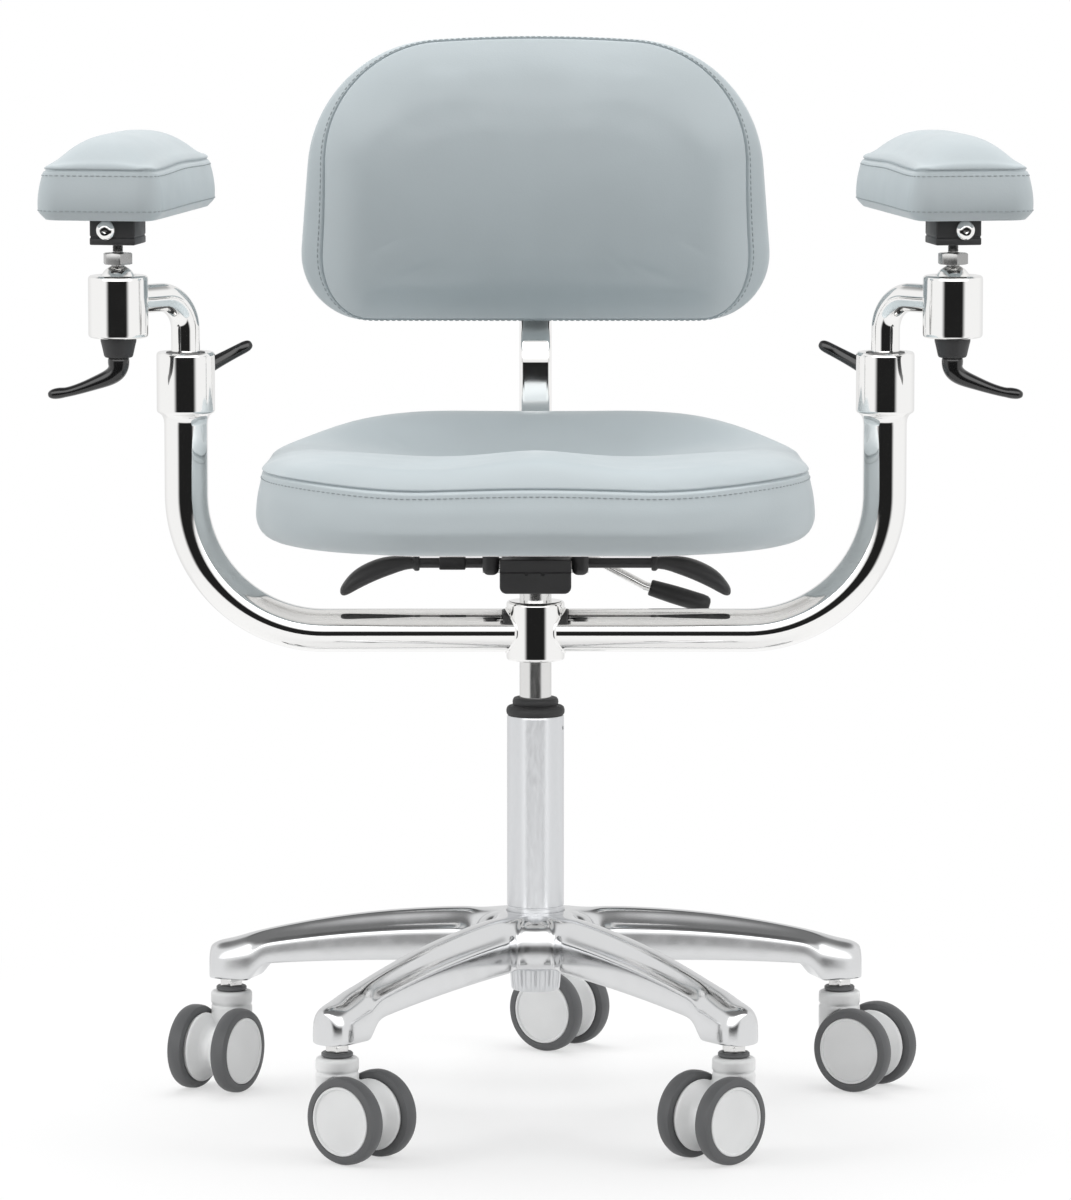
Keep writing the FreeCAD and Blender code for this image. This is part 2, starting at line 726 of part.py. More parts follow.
# Gas column
def gas_column():
    inner = "(tube_radius - tube_wall)"
    rod_hole = "(rod_radius + fit_gap)"
    node("column_tube", turned("tube", [
        (rod_hole, TUBE_BOTTOM),
        ("tube_tail_radius", TUBE_BOTTOM),
        ("tube_radius", f"{HUB_BOTTOM} - tube_shoulder"),
        ("tube_radius", TUBE_TOP),
        (inner, TUBE_TOP),
        (inner, HUB_BOTTOM),
        ("tube_tail_radius - tube_wall", BEARING_BOTTOM),
        (rod_hole, BEARING_BOTTOM),
    ]))
    bush_bore = "(cylinder_radius + fit_gap)"
    node("guide_bush", turned("bush", [
        (bush_bore, f"{TUBE_TOP} - bush_length"),
        (inner, f"{TUBE_TOP} - bush_length"),
        (inner, TUBE_TOP),
        (bush_bore, TUBE_TOP),
    ]))
    lip = "(cylinder_radius + seal_clearance)"
    rings = []
    for name, radius, bottom, height in (
        ("lower_seal", "lower_seal_radius", TUBE_TOP, "lower_seal_height"),
        ("upper_seal", "upper_seal_radius", f"({TUBE_TOP} + lower_seal_height)", "upper_seal_height"),
    ):
        top = f"({bottom} + {height})"
        rings.append(turned(name, [
            (lip, bottom),
            (f"{radius} - seal_round", bottom),
            (radius, f"{bottom} + seal_round", "seal_round"),
            (radius, f"{top} - seal_round"),
            (f"{radius} - seal_round", top, "seal_round"),
            (lip, top),
        ]))
    node("column_seals", grouped("seals", *rings))
    thrust_bearing()
    node("piston_rod", turned("rod", [
        ("0", TUBE_BOTTOM),
        ("rod_radius", TUBE_BOTTOM),
        ("rod_radius", BEARING_TOP),
        ("rod_flange_radius", BEARING_TOP),
        ("rod_flange_radius", f"{BEARING_TOP} + rod_flange"),
        ("rod_radius", f"{BEARING_TOP} + rod_flange"),
        ("rod_radius", PISTON_BOTTOM),
        ("cylinder_bore_radius - fit_gap", PISTON_BOTTOM),
        ("cylinder_bore_radius - fit_gap", f"{PISTON_BOTTOM} + piston_height"),
        ("0", f"{PISTON_BOTTOM} + piston_height"),
    ]))
    chamber_top = f"({YOKE_TOP} - cylinder_cap)"
    node("gas_cylinder", turned("cylinder", [
        (rod_hole, CYLINDER_BOTTOM),
        ("cylinder_radius", CYLINDER_BOTTOM),
        ("cylinder_radius", f"{MECHANISM_TOP} - mechanism_wall"),
        ("0", f"{MECHANISM_TOP} - mechanism_wall"),
        ("0", chamber_top),
        ("cylinder_bore_radius", chamber_top),
        ("cylinder_bore_radius", f"{CYLINDER_BOTTOM} + cylinder_cap"),
        (rod_hole, f"{CYLINDER_BOTTOM} + cylinder_cap"),
    ]))


def thrust_bearing():
    """Two washers with a ring of balls between them, under the flange of the rod."""
    hole = "(rod_radius + seal_clearance)"
    upper = f"({BEARING_TOP} - bearing_washer)"
    pieces = [
        turned(name, [
            (hole, bottom),
            ("bearing_radius", bottom),
            ("bearing_radius", f"{bottom} + bearing_washer"),
            (hole, f"{bottom} + bearing_washer"),
        ])
        for name, bottom in (("lower_washer", BEARING_BOTTOM), ("upper_washer", upper))
    ]
    track = f"(({hole} + bearing_radius) / 2)"
    middle = f"({BEARING_BOTTOM} + {BEARING_TOP}) / 2"
    for index in range(BEARING_BALLS):
        turn = 360 / BEARING_BALLS * index
        spot = (f"{track} * cos({turn})", f"{track} * sin({turn})", middle)
        pieces.append(ball(f"bearing_ball_{index + 1}", "bearing_ball_radius - fit_gap", spot))
    node("thrust_bearing", grouped("bearing", *pieces))


# Yoke and arm tubes
def ring_corners(inner, outer, bottom, top, chamfer):
    return [
        (inner, bottom),
        (f"{outer} - {chamfer}", bottom),
        (outer, f"{bottom} + {chamfer}"),
        (outer, f"{top} - {chamfer}"),
        (f"{outer} - {chamfer}", top),
        (inner, top),
    ]


def yoke():
    collar = ring_corners("cylinder_radius", "yoke_radius", YOKE_BOTTOM, YOKE_TOP, "yoke_chamfer")
    node("yoke_collar", turned("collar", collar))


def arm_tube(side, sign):
    """A bent tube from the yoke, with the clamp collar of the post on its top."""
    turn = Rotation(Z_AXIS, 0 if sign > 0 else 180)
    body = new_body(f"tube_{side}", ("0", "0", YOKE_MIDDLE), turn)
    foot = "(arm_tube_spread - arm_tube_bend)"
    corners = [
        ("0", "0"),
        (foot, "0"),
        ("arm_tube_spread", "arm_tube_bend", "arm_tube_bend"),
        ("arm_tube_spread", "arm_tube_rise + clamp_height"),
    ]
    route = outline(body, "XZ_Plane", corners, closed=False)
    pipe_into(body, f"tube_wall_{side}", "PartDesign::AdditivePipe", route,
              circle(body, "YZ_Plane", "arm_tube_radius"))
    bore_route = outline(body, "XZ_Plane", corners, closed=False)
    pipe_into(body, f"tube_bore_{side}", "PartDesign::SubtractivePipe", bore_route,
              circle(body, "YZ_Plane", "arm_tube_radius - arm_tube_wall"))
    spot = (f"{sign} * arm_tube_spread", "0", "0")
    inside = "arm_tube_radius - arm_tube_wall / 2"
    collar = turned(f"clamp_{side}",
                    ring_corners(inside, "clamp_radius", CLAMP_BOTTOM, CLAMP_TOP, "clamp_chamfer"), spot)
    cope = cylinder(f"cope_{side}", "yoke_radius", "yoke_height", ("0", "0", YOKE_BOTTOM))
    screw_hole = cylinder(f"clamp_hole_{side}", "lever_screw_radius + fit_gap", "clamp_radius",
                          (spot[0], "0", f"{CLAMP_BOTTOM} + clamp_height / 2"), Rotation(X_AXIS, -90))
    node(f"arm_tube_{side}", cut(fused(f"arm_{side}", cut(body, cope), collar), screw_hole))


# Arm posts, ball joints and pads
def clamping_lever(name, screw_length, spot, turn):
    """A lever whose screw points along its own +Z and whose arm reaches out along its +X."""
    skirt_end, neck_end = "(-lever_skirt_height)", "(-(lever_skirt_height + lever_neck_height))"
    hub = turned(f"{name}_hub", [
        ("0", "-running_gap"),
        ("lever_skirt_radius", "-running_gap"),
        ("lever_collar_radius", skirt_end),
        ("lever_neck_radius", skirt_end),
        ("lever_neck_radius", neck_end),
        ("0", neck_end),
    ], spot, turn)

    def arm_section(half_width, thick, height):
        side, half = f"({half_width})", f"(({thick}) / 2)"
        low, high = f"({height} - {half})", f"({height} + {half})"
        return [(f"-{side}", low), (side, low), (side, high), (f"-{side}", high)]

    root = f"({neck_end} + lever_root_thick / 2)"
    tip = "(lever_tip_thick / 2 - lever_drop)"
    middle_thick = "(lever_root_thick + lever_tip_thick) / 2"
    arm = lofted(f"{name}_arm", "YZ_Plane", [
        (arm_section("lever_width / 2", "lever_root_thick", root), "0", 0),
        (arm_section("lever_tip_width / 2", middle_thick, f"({root} + {tip}) / 2"), "lever_reach / 2", 0),
        (arm_section("lever_tip_width / 2", "lever_tip_thick", tip), "lever_reach", 0),
    ], spot, turn)
    screw = turned(f"{name}_screw", [
        ("0", "-running_gap"),
        ("lever_screw_radius", "-running_gap"),
        ("lever_screw_radius", screw_length),
        ("0", screw_length),
    ], spot, turn)
    node(name, grouped(f"{name}_pieces", fused(f"{name}_handle", hub, arm), screw))


def arm_post(side, sign):
    spread = f"{sign} * arm_tube_spread"
    inside = "(arm_tube_radius - arm_tube_wall)"
    node(f"post_sleeve_{side}", turned(f"sleeve_{side}", [
        ("post_radius + fit_gap", f"{CLAMP_TOP} - sleeve_length"),
        (f"{inside} - fit_gap", f"{CLAMP_TOP} - sleeve_length"),
        (f"{inside} - fit_gap", CLAMP_TOP),
        ("post_radius + fit_gap", CLAMP_TOP),
    ], (spread, "0", "0")))
    lift = math.radians(value("post_lever_lift"))
    reach = Vector(-sign * math.cos(lift), 0, math.sin(lift))
    inward = Vector(0, -1, 0)
    clamping_lever(f"post_lever_{side}", f"clamp_radius - {inside} - running_gap",
                   (spread, "clamp_radius", f"{CLAMP_BOTTOM} + clamp_height / 2"),
                   Rotation(reach, inward.cross(reach), inward, "ZXY"))
    post_bottom = f"({CLAMP_TOP} - post_depth)"
    heading = -value("post_splay") if sign > 0 else 180 + value("post_splay")
    body = new_body(f"post_{side}", (spread, "0", post_bottom), Rotation(Z_AXIS, heading))
    rise = f"({POST_HEIGHT} - {post_bottom})"
    corners = [
        ("0", "0"),
        ("0", f"{rise} - post_bend"),
        ("post_bend", rise, "-post_bend"),
        ("post_reach", rise),
    ]
    for kind, name, radius in (
        ("PartDesign::AdditivePipe", "post_wall", "post_radius"),
        ("PartDesign::SubtractivePipe", "post_bore", "post_radius - post_wall"),
    ):
        route = outline(body, "XZ_Plane", corners, closed=False)
        pipe_into(body, f"{name}_{side}", kind, route, circle(body, "XY_Plane", radius))
    cope = cylinder(f"post_cope_{side}", "socket_radius", "socket_height",
                    (f"{sign} * {SOCKET_SPREAD}", f"-{SOCKET_AHEAD}", SOCKET_BOTTOM))
    node(f"elbow_post_{side}", cut(body, cope))


def ball_joint(side, sign):
    spot = (f"{sign} * {SOCKET_SPREAD}", f"-{SOCKET_AHEAD}")
    seat = "(ball_radius + running_gap)"
    mouth = f"sqrt({seat} * {seat} - ball_sink * ball_sink)"
    shell = turned(f"socket_{side}", [
        (seat, SOCKET_BOTTOM),
        ("socket_radius - socket_chamfer", SOCKET_BOTTOM),
        ("socket_radius", f"{SOCKET_BOTTOM} + socket_chamfer"),
        ("socket_radius", f"{SOCKET_TOP} - socket_chamfer"),
        ("socket_radius - socket_chamfer", SOCKET_TOP),
        (mouth, SOCKET_TOP),
        (seat, BALL_HEIGHT, f"-{seat}"),
    ], (*spot, "0"))
    plug = turned(f"plug_{side}", [
        ("lever_screw_radius + fit_gap", SOCKET_BOTTOM),
        (seat, SOCKET_BOTTOM),
        (seat, f"{SOCKET_BOTTOM} + socket_plug"),
        ("lever_screw_radius + fit_gap", f"{SOCKET_BOTTOM} + socket_plug"),
    ], (*spot, "0"))
    node(f"pad_socket_{side}", grouped(f"socket_pieces_{side}", shell, plug))
    outward = Rotation(Z_AXIS, 0 if sign > 0 else 180)
    clamping_lever(f"pad_lever_{side}", f"{BALL_HEIGHT} - ball_radius - running_gap - {SOCKET_BOTTOM}",
                   (*spot, SOCKET_BOTTOM), outward)
    node(f"pad_ball_{side}", ball(f"ball_{side}", "ball_radius", (*spot, BALL_HEIGHT)))
    stud = turned(f"stud_{side}", [
        ("0", NUT_BOTTOM),
        ("stud_radius", NUT_BOTTOM),
        ("stud_radius", NUT_TOP),
        ("stud_neck_radius", NUT_TOP),
        ("stud_radius", BLOCK_BOTTOM),
        ("stud_radius", f"{BLOCK_BOTTOM} + stud_seat"),
        ("0", f"{BLOCK_BOTTOM} + stud_seat"),
    ], (*spot, "0"))
    nut = cut(hexagon(f"nut_{side}", "nut_across", "nut_height", (*spot, NUT_BOTTOM)),
              cylinder(f"nut_bore_{side}", "stud_radius", "nut_height", (*spot, NUT_BOTTOM)))
    node(f"pad_stud_{side}", grouped(f"stud_pieces_{side}", stud, nut))


def arm_pad(side, sign):
    spot = (f"{sign} * {SOCKET_SPREAD}", f"-{SOCKET_AHEAD}", "0")
    turn = Rotation(Z_AXIS, sign * value("pad_toe"))
    half_width, half_length = "(block_width / 2)", "(block_length / 2)"
    blank = extruded(f"block_{side}", [
        (f"-{half_width}", f"-{half_length}"),
        (half_width, f"-{half_length}"),
        (half_width, half_length),
        (f"-{half_width}", half_length),
    ], "block_height", offset=BLOCK_BOTTOM, spot=spot, turn=turn)
    stud_hole = cylinder(f"stud_hole_{side}", "stud_radius + fit_gap", "stud_seat + running_gap",
                         (spot[0], spot[1], BLOCK_BOTTOM))
    toe = f"({sign} * pad_toe)"
    aside = f"({sign} * screw_offset)"
    face = (
        f"{spot[0]} + {aside} * cos({toe}) + {half_length} * sin({toe})",
        f"{spot[1]} + {aside} * sin({toe}) - {half_length} * cos({toe})",
        f"{BLOCK_BOTTOM} + screw_rise",
    )
    outward = turn.multiply(Rotation(X_AXIS, 90))
    screw = turned(f"screw_{side}", [
        ("0", "-screw_shank_length"),
        ("screw_shank_radius", "-screw_shank_length"),
        ("screw_shank_radius", "0"),
        ("screw_head_radius", "0"),
        ("screw_head_radius", "screw_rim"),
        ("screw_crown_radius", "screw_head_height", "screw_head_radius"),
        ("0", "screw_head_height"),
    ], face, outward)
    screw_hole = turned(f"screw_hole_{side}", [
        ("0", "-screw_shank_length"),
        ("screw_shank_radius", "-screw_shank_length"),
        ("screw_shank_radius", "0"),
        ("0", "0"),
    ], face, outward)
    node(f"pad_block_{side}", cut(blank, stud_hole, screw_hole))
    node(f"pad_screw_{side}", screw)

    def section(inset, height):
        half, front, rear = f"pad_width / 2 - {inset}", f"pad_front - {inset}", f"pad_rear - {inset}"
        return rounded(half, front, rear, "pad_corner"), f"{PAD_BOTTOM} + {height}", 0

    node(f"pad_cushion_{side}", lofted(f"cushion_{side}", "XY_Plane", [
        section("pad_tuck", "0"),
        section("0", "pad_swell"),
        section("pad_seam_inset", "pad_boxing"),
        section("pad_shoulder_inset", "pad_boxing + pad_crown - pad_shoulder_drop"),
        section("pad_top_inset", "pad_boxing + pad_crown"),
    ], spot, turn))


# Mechanism and its levers
def mechanism():
    half, wall = "mechanism_half_width", "mechanism_wall"
    inner = f"({half} - {wall})"
    body = box("mechanism_box", (f"-{half}", "-mechanism_front", MECHANISM_BOTTOM),
               (half, "mechanism_rear", MECHANISM_TOP))
    room = box("mechanism_room",
               (f"-{inner}", f"-mechanism_front + {wall}", f"{MECHANISM_BOTTOM} + {wall}"),
               (inner, f"mechanism_rear - {wall}", f"{MECHANISM_TOP} - {wall}"))
    slot = box("bar_slot",
               (f"-{inner}", "back_pivot_behind - 3 * bar_eye_radius", f"{MECHANISM_BOTTOM} - {wall}"),
               (inner, f"mechanism_rear + {wall}", MECHANISM_TOP))
    boss = cylinder("mechanism_boss", "boss_radius", "mechanism_height", ("0", "0", MECHANISM_BOTTOM))
    bore = cylinder("mechanism_bore", "cylinder_radius", f"mechanism_height - {wall}",
                    ("0", "0", MECHANISM_BOTTOM))
    across = Rotation(Y_AXIS, 90)
    reach = "(ear_inner + ear_thick)"
    seat_pin = cylinder("seat_pin", "pin_radius", f"2 * {reach}",
                        (f"-{reach}", "-seat_pivot_ahead", SEAT_PIVOT), across)
    back_pin = cylinder("back_pin", "pin_radius", f"2 * {half}",
                        (f"-{half}", "back_pivot_behind", BACK_PIVOT), across)
    shaft_hole = cylinder("shaft_hole", "shaft_radius + fit_gap", f"4 * {half}",
                          (f"-2 * {half}", "-shaft_ahead", SHAFT_HEIGHT), across)
    rod_hole = cylinder("rod_lever_hole", "rod_lever_radius + fit_gap", half,
                        (f"{half} / 2", "rod_lever_behind", f"{MECHANISM_TOP} - rod_lever_drop"), across)
    frame = fused("mechanism_frame", cut(body, room, slot), boss)
    node("pivot_pins", grouped("pins", seat_pin, back_pin))
    node("mechanism_body", cut(frame, bore, seat_pin, back_pin, shaft_hole, rod_hole))
    cover_half = f"({half} + cover_wall)"
    cover_bottom = f"({MECHANISM_BOTTOM} - cover_wall)"
    cap = extruded("cover_cap", [
        (f"-{cover_half} + cover_round", cover_bottom, "cover_round"),
        (f"{cover_half} - cover_round", cover_bottom),
        (cover_half, f"{cover_bottom} + cover_round", "cover_round"),
        (cover_half, MECHANISM_TOP),
        (f"-{cover_half}", MECHANISM_TOP),
        (f"-{cover_half}", f"{cover_bottom} + cover_round"),
    ], "cover_length", role="XZ_Plane", offset="mechanism_front + cover_front - cover_length")
    seated = box("cover_room", (f"-{half}", "-mechanism_front", MECHANISM_BOTTOM),
                 (half, "mechanism_rear", f"{MECHANISM_TOP} + {wall}"))
    node("mechanism_cover", cut(cap, seated))


def paddle_lever(name, sign):
    """A shaft out of the side of the mechanism with a moulded paddle on its end."""
    spot = ("0", "-shaft_ahead", SHAFT_HEIGHT)
    turn = Rotation(Z_AXIS, 0 if sign > 0 else 180)
    along = turn.multiply(Rotation(Y_AXIS, 90))
    ring_end = "(paddle_start + paddle_ring_width)"
    shaft = turned(f"{name}_shaft", [
        ("0", "shaft_inner_end"),
        ("shaft_radius", "shaft_inner_end"),
        ("shaft_radius", ring_end),
        ("0", ring_end),
    ], spot, along)
    ring = turned(f"{name}_ring", [
        ("shaft_radius", "paddle_start"),
        ("paddle_ring_radius", "paddle_start"),
        ("paddle_ring_radius", ring_end),
        ("shaft_radius", ring_end),
    ], spot, along)

    def section(half_depth, thick, height):
        low, high = f"({height} - {thick} / 2)", f"({height} + {thick} / 2)"
        side = f"({half_depth})"
        return [(f"-{side}", low), (side, low), (side, high), (f"-{side}", high)]

    middle_thick = "((paddle_root_thick + paddle_tip_thick) / 2)"
    middle = f"({ring_end} + paddle_reach) / 2"
    paddle = lofted(f"{name}_paddle", "YZ_Plane", [
        (section("paddle_ring_radius", "paddle_root_thick", "0"), ring_end, 0),
        (section("paddle_half_depth", middle_thick, "-paddle_middle_drop"), middle, 0),
        (section("paddle_tip_half_depth", "paddle_tip_thick", "-paddle_drop"), "paddle_reach", 0),
    ], spot, turn)
    node(name, grouped(f"{name}_pieces", shaft, fused(f"{name}_moulding", ring, paddle)))


def rod_lever():
    """A bent rod out of the right side of the mechanism, with a grip on its end."""
    start = "(mechanism_half_width - mechanism_wall - rod_lever_radius)"
    spot = (start, "rod_lever_behind", f"{MECHANISM_TOP} - rod_lever_drop")
    body = new_body("bent_rod", spot)
    down, less = "rod_lever_slope", "grip_slope"
    x_one = f"(rod_lever_run + rod_lever_bend * sin({down}))"
    z_one = f"(-rod_lever_bend * (1 - cos({down})))"
    x_two = f"({x_one} + rod_lever_length * cos({down}))"
    z_two = f"({z_one} - rod_lever_length * sin({down}))"
    x_three = f"({x_two} + rod_lever_bend * (sin({down}) - sin({less})))"
    z_three = f"({z_two} - rod_lever_bend * (cos({less}) - cos({down})))"
    corners = [
        ("0", "0"),
        ("rod_lever_run", "0"),
        (x_one, z_one, "-rod_lever_bend"),
        (x_two, z_two),
        (x_three, z_three, "rod_lever_bend"),
        (f"{x_three} + grip_socket * cos({less})", f"{z_three} - grip_socket * sin({less})"),
    ]
    route = outline(body, "XZ_Plane", corners, closed=False)
    section = circle(body, "YZ_Plane", "rod_lever_radius")
    pipe_into(body, "bent_rod_pipe", "PartDesign::AdditivePipe", route, section)
    node("back_lever_rod", body)
    node("back_lever_grip", turned("grip", [
        ("rod_lever_radius", "0"),
        ("grip_neck_radius", "0"),
        ("grip_radius", "grip_swell"),
        ("grip_radius", "grip_length - grip_end"),
        ("grip_end_radius", "grip_length"),
        ("0", "grip_length"),
        ("0", "grip_socket"),
        ("rod_lever_radius", "grip_socket"),
    ], (f"{spot[0]} + {x_three}", spot[1], f"{spot[2]} + {z_three}"), Rotation(Y_AXIS, 90 + value(less))))


# Seat
def seat_outline(inset):
    return rounded(f"seat_half_width - {inset}", f"seat_front - {inset}", f"seat_rear - {inset}",
                   f"(seat_corner - {inset})")


def seat():
    plate = extruded("plate", seat_outline("seat_plate_inset"), "seat_plate_thick",
                     offset=SEAT_PLATE_BOTTOM)
    pivot = "(-seat_pivot_ahead)"
    ears = [
        extruded(f"ear_{side}", [
            (f"{pivot} - 2 * ear_radius", SEAT_PLATE_BOTTOM),
            (f"{pivot} - ear_radius", SEAT_PIVOT),
            (pivot, f"{SEAT_PIVOT} - ear_radius", "ear_radius"),
            (f"{pivot} + ear_radius", SEAT_PIVOT, "ear_radius"),
            (f"{pivot} + 2 * ear_radius", SEAT_PLATE_BOTTOM),
        ], "ear_thick", role="YZ_Plane", offset=start)
        for side, start in (("right", "ear_inner"), ("left", "-(ear_inner + ear_thick)"))
    ]
    reach = "(2 * (ear_inner + ear_thick))"
    pin_hole = cylinder("seat_pin_hole", "pin_radius + fit_gap", f"2 * {reach}",
                        (f"-{reach}", "-seat_pivot_ahead", SEAT_PIVOT), Rotation(Y_AXIS, 90))
    node("seat_plate", cut(fused("plate_and_ears", plate, *ears), pin_hole))

    rake = value("seat_rake")
    node("seat_cushion", lofted("seat_pad", "XY_Plane", [
        (seat_outline(draw_in), f"{SEAT_BOTTOM} + {height}", tilt)
        for draw_in, height, tilt in (
            ("seat_tuck", "0", 0),
            ("0", "seat_tuck", 0),
            ("seat_seam_inset", "seat_boxing", rake),
            ("seat_shoulder_inset", "seat_boxing + seat_crown - seat_shoulder_drop", rake),
            ("seat_top_inset", "seat_boxing + seat_crown", rake),
        )
    ]))


# Back
def back_outline(inset):
    """The arched back seen from the front, drawn in by the inset all round."""
    base, top = f"(back_bottom + {inset})", f"(back_bottom + back_height - {inset})"
    flat, corner = "(back_half_width - back_lower_round)", f"(back_lower_round - {inset})"
    widest, waist = f"(back_half_width - {inset})", f"(back_half_width - back_waist_in - {inset})"
    shoulder, shoulder_height = "(back_half_width - back_shoulder_in)", f"({top} - back_shoulder_drop)"
    widest_height, waist_height = "back_bottom + back_lower_round", "back_bottom + back_waist_rise"
    return [
        (f"-{flat}", base, corner),
        (flat, base),
        (widest, widest_height, corner),
        (waist, waist_height, "back_side_radius"),
        (shoulder, shoulder_height, "back_shoulder_radius"),
        (f"-{shoulder}", shoulder_height, "back_arch_radius"),
        (f"-{waist}", waist_height, "back_shoulder_radius"),
        (f"-{widest}", widest_height, "back_side_radius"),
    ]


def back():
    across = Rotation(Y_AXIS, 90)
    body = new_body("bar", ("0", "back_pivot_behind", BACK_PIVOT))
    run = "(bar_behind - back_pivot_behind)"
    straight = f"(bar_straight_top - {BACK_PIVOT})"
    half_back, half_rise = f"({STEP_BACK} / 2)", f"({STEP_RISE} / 2)"
    corners = [
        ("0", "0"),
        (f"{run} - bar_low_bend", "0"),
        (run, "bar_low_bend", "bar_low_bend"),
        (run, straight),
        (f"{run} + {half_back}", f"{straight} + {half_rise}", "-bar_step_bend"),
        (f"{run} + {STEP_BACK}", f"{straight} + {STEP_RISE}", "bar_step_bend"),
        (f"{run} + {STEP_BACK}", f"{straight} + {STEP_RISE} + bar_top_run"),
    ]
    route = outline(body, "YZ_Plane", corners, closed=False)
    half, half_thick = "bar_width / 2", "bar_thick / 2"
    section = outline(body, "XZ_Plane", rounded(half, half_thick, half_thick, "bar_round"))
    pipe_into(body, "bar_pipe", "PartDesign::AdditivePipe", route, section)
    eye_spot = (f"-{half}", "back_pivot_behind", BACK_PIVOT)
    eye = cylinder("bar_eye", "bar_eye_radius", "bar_width", eye_spot, across)
    eye_hole = cylinder("bar_eye_hole", "pin_radius + fit_gap", "bar_width", eye_spot, across)
    node("back_bar", cut(fused("bar_and_eye", body, eye), eye_hole))
    bracket_top = f"({BRACKET_BOTTOM} + bracket_height)"
    bracket = box("bracket_block", ("-bracket_half_width", BRACKET_FRONT, BRACKET_BOTTOM),
                  ("bracket_half_width", BRACKET_REAR, bracket_top))
    gap = "running_gap"
    slot = box("bracket_slot",
               (f"-{half} - {gap}", f"{BRACKET_FRONT} + bracket_wall", f"{BRACKET_BOTTOM} - {gap}"),
               (f"{half} + {gap}", f"{BRACKET_REAR} - bracket_wall", f"{bracket_top} + {gap}"))
    knob_spot = ("0", BRACKET_REAR, f"{BRACKET_BOTTOM} + bracket_height / 2")
    rearward = Rotation(X_AXIS, -90)
    thread = cylinder("knob_hole", "pin_radius + fit_gap", "2 * bracket_wall",
                      ("0", f"{BRACKET_REAR} - bracket_wall - {gap}", knob_spot[2]), rearward)
    node("back_bracket", cut(bracket, slot, thread))
    node("back_knob", turned("knob", [
        ("0", "-bracket_wall"),
        ("pin_radius", "-bracket_wall"),
        ("pin_radius", gap),
        ("knob_neck_radius", gap),
        ("knob_radius", "knob_skirt"),
        ("knob_radius", "knob_length - knob_edge"),
        ("knob_radius - knob_edge", "knob_length"),
        ("0", "knob_length"),
    ], knob_spot, rearward))
    node("back_shell", extruded("shell", back_outline("shell_inset"), "shell_thick",
                                role="XZ_Plane", offset=f"-{BRACKET_FRONT}"))
    shell_front = f"({BRACKET_FRONT} - shell_thick)"
    node("back_cushion", lofted("back_pad", "XZ_Plane", [
        (back_outline(inset), f"{depth} - {shell_front}", 0)
        for inset, depth in (
            ("back_rear_inset", "0"),
            ("0", "back_swell"),
            ("back_seam_inset", "back_boxing"),
            ("back_edge_inset", "(back_boxing + back_thick) / 2"),
            ("back_face_inset", "back_thick"),
        )
    ]))


star_base()
casters()
gas_column()
yoke()
for side, sign in SIDES.items():
    arm_tube(side, sign)
    arm_post(side, sign)
    ball_joint(side, sign)
    arm_pad(side, sign)
mechanism()
paddle_lever("tilt_lever", -1)
paddle_lever("height_lever", 1)
rod_lever()
seat()
back()
doc.recompute()

failed = [thing.Label for thing in doc.Objects if {"Invalid", "Error"} & set(thing.State)]
broken = [thing.Label for thing in nodes if thing.Shape.isNull() or not thing.Shape.isValid()]
if failed or broken:
    raise RuntimeError(f"failed objects: {failed}, broken shapes: {broken}")
os.makedirs("parts", exist_ok=True)
for thing in nodes:
    thing.Shape.exportStep(f"parts/{thing.Label}.step")
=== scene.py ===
"""Looks of a microscope chair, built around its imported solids.

The sitter faces -Y and the floor is at Z = 0. Sizes in the code are in millimetres.
The stage and the properties of the add-on hold theirs in metres.
"""
import math
from functools import partial

import bpy
from bpy.props import FloatProperty, FloatVectorProperty, PointerProperty
from mathutils import Matrix, Vector


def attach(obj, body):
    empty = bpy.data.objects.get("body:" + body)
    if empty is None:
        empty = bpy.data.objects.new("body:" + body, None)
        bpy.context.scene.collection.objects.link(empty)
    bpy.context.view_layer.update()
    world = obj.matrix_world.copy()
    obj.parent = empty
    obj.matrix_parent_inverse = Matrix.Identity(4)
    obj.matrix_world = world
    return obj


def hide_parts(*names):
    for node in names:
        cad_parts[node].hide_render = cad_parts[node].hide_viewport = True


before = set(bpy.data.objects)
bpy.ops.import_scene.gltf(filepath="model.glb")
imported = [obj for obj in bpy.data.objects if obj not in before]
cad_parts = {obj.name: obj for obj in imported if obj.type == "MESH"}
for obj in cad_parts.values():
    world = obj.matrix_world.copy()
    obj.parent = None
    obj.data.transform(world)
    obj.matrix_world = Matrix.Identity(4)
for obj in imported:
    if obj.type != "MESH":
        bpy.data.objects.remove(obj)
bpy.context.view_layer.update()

bl_info = {
    "name": "Microscope chair",
    "version": (1, 0, 0),
    "blender": (4, 5, 0),
    "location": "View3D > Sidebar > Chair",
    "description": "Dresses the packed solids of a microscope chair",
    "category": "Object",
}

MM = 0.001
POLE = 0.004
SIDES = {"left": -1, "right": 1}
STAR_ARMS = 5
STAR_STEP = math.radians(72)
CASTER_HEADINGS = (-34, -119, -38, -136, -33)
STEM_CIRCLE = 286.0
CASTER_TRAIL = 27.0
AXLE_HEIGHT = 37.5
WHEEL_INNER = 15.0
ARM_SPREAD = 305.0
POST_SPLAY = math.radians(46)
POST_REACH = 79.0
PAD_TOE = math.radians(10)
YOKE_MIDDLE = 421.5
SEAT_BASE = 509.5
PAD_BASE = 788.0
BACK_REAR = 229.2


# Picking and shaping
def leave_edit():
    if bpy.context.mode != "OBJECT":
        bpy.ops.object.mode_set(mode="OBJECT")
    bpy.ops.object.select_all(action="DESELECT")


def choose(piece):
    leave_edit()
    piece.select_set(True)
    bpy.context.view_layer.objects.active = piece


def named(piece, name):
    piece.name = name
    piece.data.name = name
    return piece


def open_edit():
    bpy.ops.object.mode_set(mode="EDIT")
    bpy.ops.mesh.select_all(action="SELECT")


